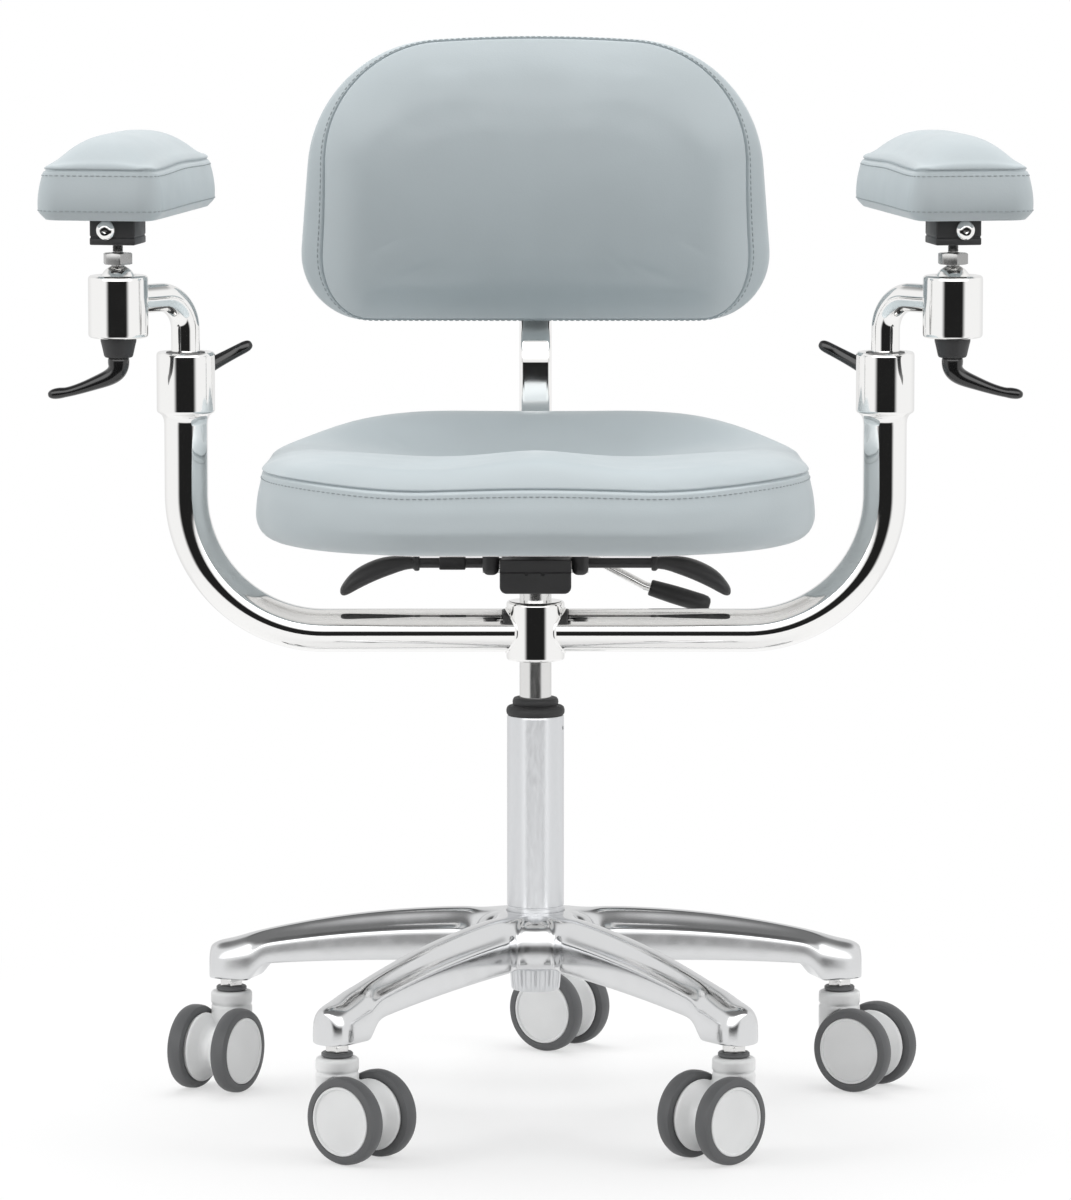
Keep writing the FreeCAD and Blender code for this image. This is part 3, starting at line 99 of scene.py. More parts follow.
def close_edit(merge=0.01):
    """Merge what meets, close the open ends and turn the faces outwards."""
    bpy.ops.mesh.select_all(action="SELECT")
    bpy.ops.mesh.remove_doubles(threshold=merge * MM)
    bpy.ops.mesh.fill_holes(sides=0)
    bpy.ops.mesh.select_all(action="SELECT")
    bpy.ops.mesh.normals_make_consistent(inside=False)
    bpy.ops.object.mode_set(mode="OBJECT")


def modify(piece, kind, **settings):
    choose(piece)
    bpy.ops.object.modifier_add(type=kind)
    modifier = piece.modifiers[-1]
    for key, setting in settings.items():
        setattr(modifier, key, setting)
    bpy.ops.object.modifier_apply(modifier=modifier.name)
    return piece


def softened(piece, width, segments=3, angle=32):
    return modify(piece, "BEVEL", width=width * MM, segments=segments, limit_method="ANGLE",
                  angle_limit=math.radians(angle))


def subdivided(piece, levels):
    return modify(piece, "SUBSURF", levels=levels, render_levels=levels, use_limit_surface=False)


def cut_by(piece, *tools, operation="DIFFERENCE"):
    for tool in tools:
        modify(piece, "BOOLEAN", operation=operation, object=tool, solver="EXACT")
        bpy.data.objects.remove(tool)
    return piece


def joined(name, first, *others):
    leave_edit()
    for piece in (first, *others):
        piece.select_set(True)
    bpy.context.view_layer.objects.active = first
    bpy.ops.object.join()
    return named(first, name)


def placed(piece, matrix):
    choose(piece)
    piece.matrix_world = matrix
    bpy.ops.object.transform_apply(location=True, rotation=True, scale=True)
    return piece


def copied(piece, name, matrix):
    choose(piece)
    bpy.ops.object.duplicate(linked=False)
    return placed(named(bpy.context.object, name), matrix)


def moved(x, y, z):
    return Matrix.Translation((x * MM, y * MM, z * MM))


def turned_about(axis, angle):
    return Matrix.Rotation(angle, 4, axis)


def mirrored():
    return Matrix.Diagonal((-1, 1, 1, 1))


def fit(piece, body, slot, finish, *nodes, smooth=35):
    """Close a finished piece, give it its surface and let it ride on its body."""
    choose(piece)
    open_edit()
    bpy.ops.mesh.remove_doubles(threshold=POLE * MM)
    bpy.ops.mesh.normals_make_consistent(inside=False)
    bpy.ops.object.mode_set(mode="OBJECT")
    bpy.ops.object.shade_smooth_by_angle(angle=math.radians(smooth))
    if finish:
        piece.data.materials.clear()
        piece.data.materials.append(bpy.data.materials[finish])
    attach(piece, body)
    if nodes:
        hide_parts(*nodes)
    return piece


# Basic workpieces
def braced(profile, edge=0.5):
    """The profile with a ring close to each end of its long runs, so that they shade straight."""
    rings = [profile[0]]
    for here, there in zip(profile, profile[1:]):
        length = math.dist(here, there)
        if length > 16 * edge:
            for share in (edge / length, 1 - edge / length):
                rings.append(tuple(a + (b - a) * share for a, b in zip(here, there)))
        rings.append(there)
    return rings


def draw_out(profile, centre=(0, 0)):
    """Extrude the picked ring up its axis through the radii and heights of a profile."""
    rings = braced(profile)
    for (radius, height), (next_radius, next_height) in zip(rings, rings[1:]):
        rise = (0, 0, (next_height - height) * MM)
        bpy.ops.mesh.extrude_region_move(TRANSFORM_OT_translate={"value": rise})
        share = max(next_radius, POLE) / max(radius, POLE)
        if share != 1:
            middle = (centre[0] * MM, centre[1] * MM, next_height * MM)
            bpy.ops.transform.resize(value=(share, share, 1), center_override=middle)


def turned(name, profile, around=64):
    """A piece turned about Z from the radii and heights of its profile."""
    leave_edit()
    radius, height = profile[0]
    bpy.ops.mesh.primitive_circle_add(vertices=around, radius=max(radius, POLE) * MM)
    piece = named(bpy.context.object, name)
    open_edit()
    bpy.ops.transform.translate(value=(0, 0, height * MM))
    draw_out(profile)
    close_edit()
    return piece


def start_tube(name, radius, start, turn, around=48):
    """Open a bent tube: a ring at its start, ready to be extruded and spun."""
    leave_edit()
    bpy.ops.mesh.primitive_circle_add(vertices=around, radius=radius * MM)
    piece = placed(named(bpy.context.object, name), moved(*start) @ turn)
    open_edit()
    return piece


def run(x, y, z):
    bpy.ops.mesh.extrude_region_move(TRANSFORM_OT_translate={"value": (x * MM, y * MM, z * MM)})


def bend(angle, centre, axis, steps):
    """Spin the picked ring by the right-hand rule."""
    middle = [part * MM for part in centre]
    bpy.ops.mesh.spin(steps=steps, angle=-angle, center=middle, axis=axis)


def block(name, low, high, edge, segments=3):
    """A block with rounded edges between two corners."""
    leave_edit()
    bpy.ops.mesh.primitive_cube_add(size=1)
    piece = named(bpy.context.object, name)
    size = [(top - bottom) * MM for bottom, top in zip(low, high)]
    middle = [(top + bottom) / 2 for bottom, top in zip(low, high)]
    placed(piece, moved(*middle) @ Matrix.Diagonal((*size, 1)))
    return softened(piece, edge, segments)


def moulded(name, rows):
    """A skin through rows of points: a grid whose points are moved to their places."""
    leave_edit()
    across, along = len(rows[0]), len(rows)
    bpy.ops.mesh.primitive_grid_add(x_subdivisions=across - 1, y_subdivisions=along - 1, size=1)
    piece = named(bpy.context.object, name)
    for vertex in piece.data.vertices:
        column = round((vertex.co.x + 0.5) * (across - 1))
        row = round((vertex.co.y + 0.5) * (along - 1))
        vertex.co = Vector(rows[row][column]) * MM
    return piece


def closed_skin(name, rows):
    """A skin through closed rings, with the first and last ring closed by their middles."""
    def middle(row):
        return [sum((Vector(point) for point in row), Vector()) / len(row)] * len(row)

    full = [row + row[:1] for row in (middle(rows[0]), *rows, middle(rows[-1]))]
    piece = moulded(name, full)
    choose(piece)
    open_edit()
    close_edit(merge=0.002)
    return piece


def fluted(name, rings, around, flutes, bite, sharpness=1.0):
    """A turned piece with flutes, from the radius, the height and the share of flute of each ring."""
    rows = []
    for radius, height, share in rings:
        row = []
        for step in range(around):
            angle = 2 * math.pi * step / around
            reach = radius - bite * share * (1 - abs(math.cos(flutes * angle / 2)) ** sharpness)
            row.append((reach * math.cos(angle), reach * math.sin(angle), height))
        rows.append(row)
    return closed_skin(name, rows)


def rounded_ring(half_width, half_height, square, around=20):
    """Points round a soft-cornered section."""
    ring = []
    for step in range(around):
        angle = 2 * math.pi * (step + 0.5) / around
        x, y = math.cos(angle), math.sin(angle)
        ring.append((half_width * math.copysign(abs(x) ** square, x),
                     half_height * math.copysign(abs(y) ** square, y)))
    return ring


def hexagon(name, across, bottom, top, chamfer):
    """A hexagon with its corners turned down at both ends."""
    leave_edit()
    radius = across / math.sqrt(3)
    bpy.ops.mesh.primitive_circle_add(vertices=6, radius=radius * MM, fill_type="NGON")
    piece = named(bpy.context.object, name)
    open_edit()
    bpy.ops.transform.translate(value=(0, 0, bottom * MM))
    run(0, 0, top - bottom)
    close_edit()
    lens = turned(f"{name}_corners", [
        (across / 2, bottom), (radius + 0.2, bottom + chamfer),
        (radius + 0.2, top - chamfer), (across / 2, top),
    ])
    cut_by(piece, lens, operation="INTERSECT")
    return softened(piece, 0.4, 2)


def screw_heads(profile, spots, turn):
    """Small turned heads, one on each spot, with their tops along the turned Z."""
    return [placed(turned("head", profile, around=24), moved(*spot) @ turn) for spot in spots]


# Finishes
COLOUR = {"subtype": "COLOR", "size": 3, "min": 0, "max": 1}


def surface(name, colour, roughness, metallic=0.0, **sockets):
    made = bpy.data.materials.new(name)
    made.use_nodes = True
    shader = made.node_tree.nodes["Principled BSDF"]
    shader.inputs["Base Color"].default_value = (*colour, 1)
    shader.inputs["Roughness"].default_value = roughness
    shader.inputs["Metallic"].default_value = metallic
    for socket, setting in sockets.items():
        shader.inputs[socket.replace("_", " ")].default_value = setting
    return made, shader


def noise(made, scale, stretch=(1, 1, 1), detail=3.0):
    """Noise on the object's own coordinates."""
    nodes, links = made.node_tree.nodes, made.node_tree.links
    coordinates = nodes.new("ShaderNodeTexCoord")
    mapping = nodes.new("ShaderNodeMapping")
    mapping.inputs["Scale"].default_value = stretch
    pattern = nodes.new("ShaderNodeTexNoise")
    pattern.inputs["Scale"].default_value = scale
    pattern.inputs["Detail"].default_value = detail
    links.new(coordinates.outputs["Object"], mapping.inputs["Vector"])
    links.new(mapping.outputs["Vector"], pattern.inputs["Vector"])
    return pattern


def vary_gloss(made, shader, pattern, low, high):
    nodes, links = made.node_tree.nodes, made.node_tree.links
    spread = nodes.new("ShaderNodeMapRange")
    spread.inputs["From Min"].default_value = 0.3
    spread.inputs["From Max"].default_value = 0.7
    spread.inputs["To Min"].default_value = low
    spread.inputs["To Max"].default_value = high
    links.new(pattern.outputs["Fac"], spread.inputs["Value"])
    links.new(spread.outputs["Result"], shader.inputs["Roughness"])


def vary_colour(made, shader, pattern, dark, light):
    nodes, links = made.node_tree.nodes, made.node_tree.links
    ramp = nodes.new("ShaderNodeValToRGB")
    ramp.color_ramp.elements[0].position = 0.3
    ramp.color_ramp.elements[0].color = (*dark, 1)
    ramp.color_ramp.elements[1].position = 0.7
    ramp.color_ramp.elements[1].color = (*light, 1)
    links.new(pattern.outputs["Fac"], ramp.inputs["Fac"])
    links.new(ramp.outputs["Color"], shader.inputs["Base Color"])


def raise_grain(made, shader, height, distance, strength=1.0, below=None):
    nodes, links = made.node_tree.nodes, made.node_tree.links
    bump = nodes.new("ShaderNodeBump")
    bump.inputs["Strength"].default_value = strength
    bump.inputs["Distance"].default_value = distance * MM
    links.new(height, bump.inputs["Height"])
    if below:
        links.new(below.outputs["Normal"], bump.inputs["Normal"])
    links.new(bump.outputs["Normal"], shader.inputs["Normal"])
    return bump


def tint(colour, share):
    return tuple(min(part * share, 1.0) for part in colour)


def leatherette(name, colour):
    """Smooth coated fabric with a fine pebbled grain and soft wear."""
    made, shader = surface(name, colour, 0.4)
    shader.inputs["Specular IOR Level"].default_value = 0.6
    broad = noise(made, 9.0, detail=2.0)
    vary_colour(made, shader, broad, tint(colour, 0.96), tint(colour, 1.03))
    vary_gloss(made, shader, noise(made, 35.0), 0.34, 0.44)
    nodes, links = made.node_tree.nodes, made.node_tree.links
    pebbles = nodes.new("ShaderNodeTexVoronoi")
    pebbles.inputs["Scale"].default_value = 620.0
    coordinates = nodes.new("ShaderNodeTexCoord")
    links.new(coordinates.outputs["Object"], pebbles.inputs["Vector"])
    creases = raise_grain(made, shader, noise(made, 55.0, detail=4.0).outputs["Fac"], 0.5, 0.35)
    raise_grain(made, shader, pebbles.outputs["Distance"], 0.12, 0.3, below=creases)
    return made


def mould_grain(name, colour, roughness, scale, depth, **sockets):
    """Moulded plastic, rubber or paint with a fine grain."""
    made, shader = surface(name, colour, roughness, **sockets)
    vary_gloss(made, shader, noise(made, 60.0), roughness * 0.88, roughness * 1.12)
    vary_colour(made, shader, noise(made, 14.0), tint(colour, 0.94), tint(colour, 1.06))
    raise_grain(made, shader, noise(made, scale).outputs["Fac"], depth, 0.5)
    return made


def worked_metal(name, colour, low, high, scale, stretch, depth):
    """Metal whose gloss and fine lines follow the way it was worked."""
    made, shader = surface(name, colour, low, metallic=1.0)
    lines = noise(made, scale, stretch)
    vary_gloss(made, shader, lines, low, high)
    raise_grain(made, shader, lines.outputs["Fac"], depth, 0.25)
    return made


def turned_sheen(made):
    """Let the gloss run round the axis of a turned piece."""
    nodes, links = made.node_tree.nodes, made.node_tree.links
    around = nodes.new("ShaderNodeTangent")
    around.direction_type = "RADIAL"
    around.axis = "Z"
    shader = nodes["Principled BSDF"]
    shader.inputs["Anisotropic"].default_value = 0.8
    shader.inputs["Anisotropic Rotation"].default_value = 0.25
    links.new(around.outputs["Tangent"], shader.inputs["Tangent"])


class ChairFinishes(bpy.types.PropertyGroup):
    leather: FloatVectorProperty(
        name="Upholstery", description="Colour of the leatherette", default=(0.50, 0.556, 0.578), **COLOUR)
    caster: FloatVectorProperty(
        name="Caster housing", description="Colour of housings and wheel discs",
        default=(0.77, 0.775, 0.775), **COLOUR)
    tread: FloatVectorProperty(
        name="Tread", description="Colour of the wheel treads", default=(0.098, 0.1, 0.103), **COLOUR)
    black: FloatVectorProperty(
        name="Black", description="Colour of the black plastics", default=(0.03, 0.03, 0.031), **COLOUR)
    chrome: FloatVectorProperty(
        name="Chrome", description="Colour of the plated tubes", default=(0.91, 0.905, 0.895), **COLOUR)
    aluminium: FloatVectorProperty(
        name="Aluminium", description="Colour of the star base", default=(0.70, 0.705, 0.712), **COLOUR)
    column: FloatVectorProperty(
        name="Column", description="Colour of the satin column", default=(0.70, 0.71, 0.725), **COLOUR)


class ChairSewing(bpy.types.PropertyGroup):
    pitch: FloatProperty(
        name="Stitch pitch", description="Distance from stitch to stitch", unit="LENGTH", default=0.0052)
    length: FloatProperty(
        name="Stitch length", description="Length of one stitch", unit="LENGTH", default=0.0039)
    thread: FloatProperty(
        name="Thread", description="Thickness of the thread", unit="LENGTH", default=0.0012)
    pressure: FloatProperty(
        name="Filling", description="Pressure that plumps the cushions", default=4.0)


class ChairStage(bpy.types.PropertyGroup):
    distance: FloatProperty(
        name="Distance", description="Camera in front of the column", unit="LENGTH", default=5.853)
    height: FloatProperty(
        name="Height", description="Camera above the floor", unit="LENGTH", default=1.153)
    pitch: FloatProperty(
        name="Pitch", description="Downward tilt of the camera", subtype="ANGLE", default=math.radians(6.868))
    lens: FloatProperty(name="Lens", description="Focal length in millimetres", default=202.0)
    fill: FloatProperty(name="Fill", description="Light from all round", default=0.6)
    key: FloatProperty(name="Key", description="Power of the overhead soft box in watts", default=43.0)


class CHAIR_OT_finishes(bpy.types.Operator):
    """Make the surfaces of the chair"""
    bl_idname = "chair.finishes"
    bl_label = "Finishes"

    def execute(self, context):
        colours = context.scene.chair_finishes
        black = tuple(colours.black)
        leatherette("pale leatherette", tuple(colours.leather))
        # The thread is drawn darker than the leatherette it matches: painted shade for the shadows round the
        # stitches.
        mould_grain("sewing thread", tint(tuple(colours.leather), 0.72), 0.6, 900.0, 0.1)
        mould_grain("caster plastic", tuple(colours.caster), 0.36, 700.0, 0.04)
        mould_grain("tread plastic", tuple(colours.tread), 0.5, 500.0, 0.06)
        mould_grain("black plastic", black, 0.46, 800.0, 0.08)
        mould_grain("black gloss", tint(black, 0.4), 0.14, 300.0, 0.01, Coat_Weight=0.4, Coat_Roughness=0.06)
        mould_grain("black rubber", tint(black, 0.9), 0.6, 600.0, 0.08)
        mould_grain("black metal", tint(black, 0.8), 0.38, 900.0, 0.06)
        chrome, aluminium, column = (tuple(c) for c in (colours.chrome, colours.aluminium, colours.column))
        worked_metal("chrome plate", chrome, 0.035, 0.06, 40.0, (1, 1, 1), 0.004)
        worked_metal("bright steel", tint(chrome, 0.82), 0.14, 0.22, 200.0, (1, 1, 0.2), 0.01)
        worked_metal("plain steel", tint(chrome, 0.42), 0.2, 0.3, 200.0, (1, 1, 0.2), 0.01)
        worked_metal("zinc plate", tint(chrome, 0.9), 0.24, 0.36, 120.0, (1, 1, 1), 0.02)
        worked_metal("polished aluminium", aluminium, 0.1, 0.17, 60.0, (1, 1, 1), 0.01)
        satin = worked_metal("satin aluminium", column, 0.28, 0.36, 500.0, (1, 1, 0.3), 0.01)
        turned_sheen(satin)
        return {"FINISHED"}


# Stage
def math_step(tree, operation, *values):
    """One sum in a node tree, from sockets and plain numbers."""
    step = tree.nodes.new("ShaderNodeMath")
    step.operation = operation
    for socket, value in zip(step.inputs, values):
        if isinstance(value, (int, float)):
            socket.default_value = value
        else:
            tree.links.new(value, socket)
    return step.outputs[0]


def smooth_fade(tree, value, low, high, least=0.0):
    """A smooth rise from the least value, at the low end, to 1 at the high end."""
    ramp = tree.nodes.new("ShaderNodeMapRange")
    ramp.interpolation_type = "SMOOTHSTEP"
    ramp.inputs["From Min"].default_value = low
    ramp.inputs["From Max"].default_value = high
    ramp.inputs["To Min"].default_value = least
    tree.links.new(value, ramp.inputs["Value"])
    return ramp.outputs["Result"]


class CHAIR_OT_stage(bpy.types.Operator):
    """Set the floor, the soft light and the camera"""
    bl_idname = "chair.stage"
    bl_label = "Stage"

    floor_radius, sensor_width = 0.98, 36.0
    # Where the floor's glow begins to rise and where it is full, as shares of the radius, and the least glow
    glow_start, glow_full, least_glow = 0.3, 0.92, 0.55
    # Name, spot, target, size and share of the key power
    soft_boxes = (
        ("overhead", (0.0, 0.9, 3.0), (0.0, 0.0, 0.5), (2.6, 1.6), 1.0),
        ("left_box", (-2.7, -0.8, 1.9), (0.0, 0.0, 0.7), (1.6, 1.8), 0.82),
        ("right_box", (2.7, -0.8, 1.9), (0.0, 0.0, 0.7), (1.6, 1.8), 0.72),
    )
    # What gloss mirrors: heights from -1 below to 1 above, bearings in radians from straight ahead
    strip_foot, strip_head, strip_side = (-0.48, -0.4), (-0.05, 0.02), (0.55, 0.85)
    panel_foot, panel_head, panel_side = (0.04, 0.16), (0.6, 0.7), (0.8, 1.1)
    ceiling_edge, rear_edge = (0.6, 0.8), (1.9, 2.7)
    white, darkest, panel_gain = 0.98, 0.012, 1.4
    strip_loss, ceiling_loss, rear_loss = 0.965, 0.75, 0.14
    # What matt surfaces get from low down and how much more from above
    low_fill, high_fill, fill_edge = 0.55, 0.75, (-0.1, 0.9)

    def execute(self, context):
        stage = context.scene.chair_stage
        context.scene.view_settings.view_transform = "Standard"
        self.floor()
        self.surroundings(context.scene, stage.fill)
        for name, spot, target, size, share in self.soft_boxes:
            self.soft_box(name, spot, target, size, stage.key * share)
        bpy.ops.object.camera_add(location=(0, -stage.distance, stage.height),
                                  rotation=(math.pi / 2 - stage.pitch, 0, 0))
        camera = bpy.context.object
        camera.data.sensor_width = self.sensor_width
        camera.data.lens = stage.lens
        context.scene.camera = camera
        return {"FINISHED"}

    def floor(self):
        """A pale disc that holds a soft shadow near the chair and fades to white at its rim."""
        leave_edit()
        bpy.ops.mesh.primitive_circle_add(vertices=128, radius=self.floor_radius, fill_type="NGON")
        floor = named(bpy.context.object, "floor")
        made, shader = surface("pale floor", (0.86, 0.86, 0.86), 0.9)
        tree = made.node_tree
        glow = tree.nodes.new("ShaderNodeEmission")
        coordinates = tree.nodes.new("ShaderNodeTexCoord")
        reach = tree.nodes.new("ShaderNodeVectorMath")
        reach.operation = "LENGTH"
        tree.links.new(coordinates.outputs["Object"], reach.inputs[0])
        start, full = self.glow_start * self.floor_radius, self.glow_full * self.floor_radius
        glowing = smooth_fade(tree, reach.outputs["Value"], start, full, self.least_glow)
        mix = tree.nodes.new("ShaderNodeMixShader")
        tree.links.new(math_step(tree, "MULTIPLY", glowing, self.seen_rays(tree)), mix.inputs["Fac"])
        tree.links.new(shader.outputs["BSDF"], mix.inputs[1])
        tree.links.new(glow.outputs["Emission"], mix.inputs[2])
        tree.links.new(mix.outputs["Shader"], tree.nodes["Material Output"].inputs["Surface"])
        floor.data.materials.append(made)

    def seen_rays(self, tree):
        """1 for rays from the camera, from metal and through glass."""
        path = tree.nodes.new("ShaderNodeLightPath")
        kinds = ("Camera", "Glossy", "Transmission")
        camera, metal, glass = (path.outputs[f"Is {kind} Ray"] for kind in kinds)
        return math_step(tree, "MAXIMUM", camera, math_step(tree, "MAXIMUM", metal, glass))

    def surroundings(self, scene, fill):
        """White all round, where gloss mirrors a low dark strip, a bright panel and a dim ceiling."""
        world = bpy.data.worlds.new("studio")
        scene.world = world
        world.use_nodes = True
        tree = world.node_tree
        reckon, fade = partial(math_step, tree), partial(smooth_fade, tree)
        background = tree.nodes["Background"]
        path = tree.nodes.new("ShaderNodeLightPath")
        coordinates = tree.nodes.new("ShaderNodeTexCoord")
        split = tree.nodes.new("ShaderNodeSeparateXYZ")
        tree.links.new(coordinates.outputs["Generated"], split.inputs["Vector"])

        def area(foot, head, side):
            """1 between two heights and up to a bearing on both sides, with soft edges."""
            band = reckon("MULTIPLY", fade(height, *foot), reckon("SUBTRACT", 1, fade(height, *head)))
            return reckon("MULTIPLY", band, reckon("SUBTRACT", 1, fade(bearing, *side)))

        ahead = reckon("MULTIPLY", split.outputs["Y"], -1)
        bearing = reckon("ABSOLUTE", reckon("ARCTAN2", split.outputs["X"], ahead))
        height = split.outputs["Z"]
        strip = area(self.strip_foot, self.strip_head, self.strip_side)
        panel = area(self.panel_foot, self.panel_head, self.panel_side)
        ceiling = reckon("MULTIPLY", self.ceiling_loss, fade(height, *self.ceiling_edge))
        behind = reckon("MULTIPLY", self.rear_loss, fade(bearing, *self.rear_edge))
        dimmed = reckon("ADD", reckon("ADD", ceiling, behind), reckon("MULTIPLY", self.strip_loss, strip))
        plain = reckon("MAXIMUM", self.darkest, reckon("SUBTRACT", self.white, dimmed))
        mirror = reckon("ADD", plain, reckon("MULTIPLY", self.panel_gain, panel))
        rising = reckon("MULTIPLY", self.high_fill * fill, fade(height, *self.fill_edge))
        scattered = reckon("ADD", self.low_fill * fill, rising)
        glossy = path.outputs["Is Glossy Ray"]
        direct = reckon("MAXIMUM", path.outputs["Is Camera Ray"], path.outputs["Is Transmission Ray"])
        soft = reckon("MULTIPLY", scattered, reckon("SUBTRACT", 1, reckon("MAXIMUM", direct, glossy)))
        strength = reckon("ADD", reckon("MAXIMUM", direct, reckon("MULTIPLY", glossy, mirror)), soft)
        tree.links.new(strength, background.inputs["Strength"])
        background.inputs["Color"].default_value = (1, 1, 1, 1)

    def soft_box(self, name, spot, target, size, power):
        leave_edit()
        bpy.ops.object.light_add(type="AREA", location=spot)
        light = named(bpy.context.object, name)
        light.data.shape = "RECTANGLE"
        light.data.size, light.data.size_y = size
        light.data.energy = power
        light.visible_glossy = False
        light.rotation_euler = (Vector(target) - Vector(spot)).to_track_quat("-Z", "Y").to_euler()


# Base and column
class CHAIR_OT_star_base(bpy.types.Operator):
    """Cast the five-armed star base"""
    bl_idname = "chair.star_base"
    bl_label = "Star base"

    hub_top, hub_bottom, foot_top, foot_bottom = 174.0, 128.0, 134.0, 98.0
    arm_end_depth, arch, rise, wall = 24.0, 9.0, 12.0, 5.0
    bore, bore_edge = 25.25, 26.2
    # Reach, half width and depth of the scoop
    arm_stations = (
        (62, 20.5, 0.1), (72, 20.2, 0.9), (90, 19.9, 1.4), (125, 19.5, 1.5), (165, 19, 1.4),
        (205, 18.7, 1.2), (236, 18.6, 0.8), (252, 18.7, 0.3),
    )
    # Reach, half width and drop of the top
    foot_stations = (
        (262, 19, 0), (268, 19.3, 0.1), (284, 19.3, 0.8), (295.5, 18.2, 2.6), (301.8, 14.4, 5.5),
        (304.2, 8.5, 8),
    )

    def execute(self, context):
        rows = self.hub_rows(STAR_STEP / 2)
        for reach, width, scoop in self.arm_stations:
            rows.append(self.section(reach, width, scoop))
        for reach, width, drop in self.foot_stations:
            rows.append(self.foot(reach, width, max(self.top(reach), self.foot_top) - drop))
        rows.append([(305.0, 0.0, z) for _, _, z in self.foot(305, 7, self.foot_top - 9)])
        sector = moulded("star_sector", rows)
        modify(sector, "MIRROR", use_axis=(False, True, False), merge_threshold=0.02 * MM)
        others = [copied(sector, f"star_sector_{turn}", turned_about("Z", turn * STAR_STEP))
                  for turn in range(1, STAR_ARMS)]
        star = joined("star", sector, *others)
        choose(star)
        open_edit()
        bpy.ops.mesh.remove_doubles(threshold=0.05 * MM)
        self.line_bore(star)
        close_edit()
        subdivided(star, 2)
        placed(star, turned_about("Z", math.pi / 2))
        fit(star, "base", "polished_aluminium", "polished aluminium", "star_base", smooth=60)
        return {"FINISHED"}

    def top(self, reach):
        t = reach / STEM_CIRCLE
        return self.hub_top + (self.foot_top - self.hub_top) * t + 4 * self.rise * t * (1 - t)

    def bottom(self, reach):
        t = reach / STEM_CIRCLE
        end = self.foot_top - self.arm_end_depth
        return self.hub_bottom + (end - self.hub_bottom) * t + 2 * self.arch * t * (1 - t)

    def section(self, reach, width, scoop):
        """Half a section of an arm, from its ridge down the scooped shoulder and the flank to its hollow."""
        top, bottom = self.top(reach), self.bottom(reach)
        depth, roof, inside = top - bottom, top - 2 * self.wall, width - self.wall
        return [(reach, y, z) for y, z in (
            (0, top),
            (0.20 * width, top - 0.01 * depth),
            (0.34 * width, top - 0.045 * depth),
            (0.47 * width, top - 0.13 * depth - 0.8 * scoop),
            (0.70 * width, top - 0.27 * depth - 1.5 * scoop),
            (0.93 * width, top - 0.37 * depth),
            (0.985 * width, top - 0.42 * depth),
            (width, bottom + 0.07 * depth),
            (width - 0.8, bottom + 0.3),
            (inside, bottom),
            (inside * 0.8, roof),
            (0, roof),
        )]

    def foot(self, reach, width, top):
        """Half a section of the blunt foot over a caster's stem."""
        low = self.foot_bottom
        depth = top - low
        return [(reach, y, z) for y, z in (
            (0, top),
            (0.26 * width, top - 0.012 * depth),
            (0.48 * width, top - 0.05 * depth),
            (0.67 * width, top - 0.12 * depth),
            (0.83 * width, top - 0.23 * depth),
            (0.93 * width, top - 0.36 * depth),
            (0.98 * width, top - 0.50 * depth),
            (width, low + 2.4),
            (width - 0.8, low + 0.3),
            (width * 0.7, low),
            (width * 0.4, low),
            (0, low),
        )]

    def hub_rows(self, half):
        """The hub ring, the nose between two arms and the hollow beside the nose."""
        along = Vector((math.cos(half), math.sin(half), 0))
        aside = Vector((math.sin(half), -math.cos(half), 0))
        top, low = self.hub_top, self.hub_bottom

        def ring(radius, share, z):
            return (radius * math.cos(half * share), radius * math.sin(half * share), z)

        def nose(radius, offset, z):
            return tuple(along * radius + aside * offset + Vector((0, 0, z)))

        first = [ring(31, 0, top), ring(31, 1 / 3, top), ring(31, 2 / 3, top), ring(31, 1, top),
                 nose(44, 0, top - 1.5), nose(53, 0, top - 7), nose(57.2, 0, top - 18),
                 nose(57.2, 0, low + 6), nose(55.5, 0, low + 0.6),
                 ring(31, 1, low), ring(31, 0.5, low), ring(31, 0, low)]
        second = [(40, 0, top - 0.3), ring(40, 0.28, top - 0.3), ring(39, 0.56, top - 0.5),
                  nose(36, 7, top - 0.8), nose(43.5, 10, top - 3), nose(50.5, 12, top - 9),
                  nose(54, 12.5, top - 19), nose(54.2, 12.5, low + 6), nose(52.6, 12, low + 0.6),
                  nose(36, 10, low), ring(38, 0.45, low), (38, 0, low)]
        third = [(52, 0, top - 1), (52, 5.0, top - 1.4), (51.5, 9.0, top - 3.4), (51, 11.8, top - 7.5),
                 (50.8, 14.2, top - 13.5), (51, 16.0, top - 19), (51.3, 17.0, top - 23),
                 (51.5, 17.5, low + 6), (51, 17, low + 0.6), (49, 13.5, low), (48, 9, low + 3),
                 (48, 0, low + 3)]
        return [first, second, third]

    def line_bore(self, star):
        """Carry the two rings round the column down into the bore."""
        bpy.ops.object.mode_set(mode="OBJECT")
        for height, depth in ((self.hub_top, -20), (self.hub_bottom, 20)):
            for edge in star.data.edges:
                edge.select = False
            for vertex in star.data.vertices:
                flat = math.hypot(vertex.co.x, vertex.co.y) / MM
                vertex.select = abs(vertex.co.z / MM - height) < 0.2 and flat < 31.5
            choose(star)
            bpy.ops.object.mode_set(mode="EDIT")
            bpy.ops.mesh.select_mode(type="VERT")
            for radius, rise in ((self.bore_edge, 0), (self.bore, depth * 0.06), (self.bore, depth)):
                bpy.ops.mesh.extrude_region_move(TRANSFORM_OT_translate={"value": (0, 0, 0)})
                bpy.ops.object.mode_set(mode="OBJECT")
                for vertex in star.data.vertices:
                    if vertex.select:
                        flat = Vector((vertex.co.x, vertex.co.y, 0)).normalized() * radius * MM
                        vertex.co = flat + Vector((0, 0, (height + rise) * MM))
                bpy.ops.object.mode_set(mode="EDIT")
            bpy.ops.object.mode_set(mode="OBJECT")
        choose(star)
        open_edit()


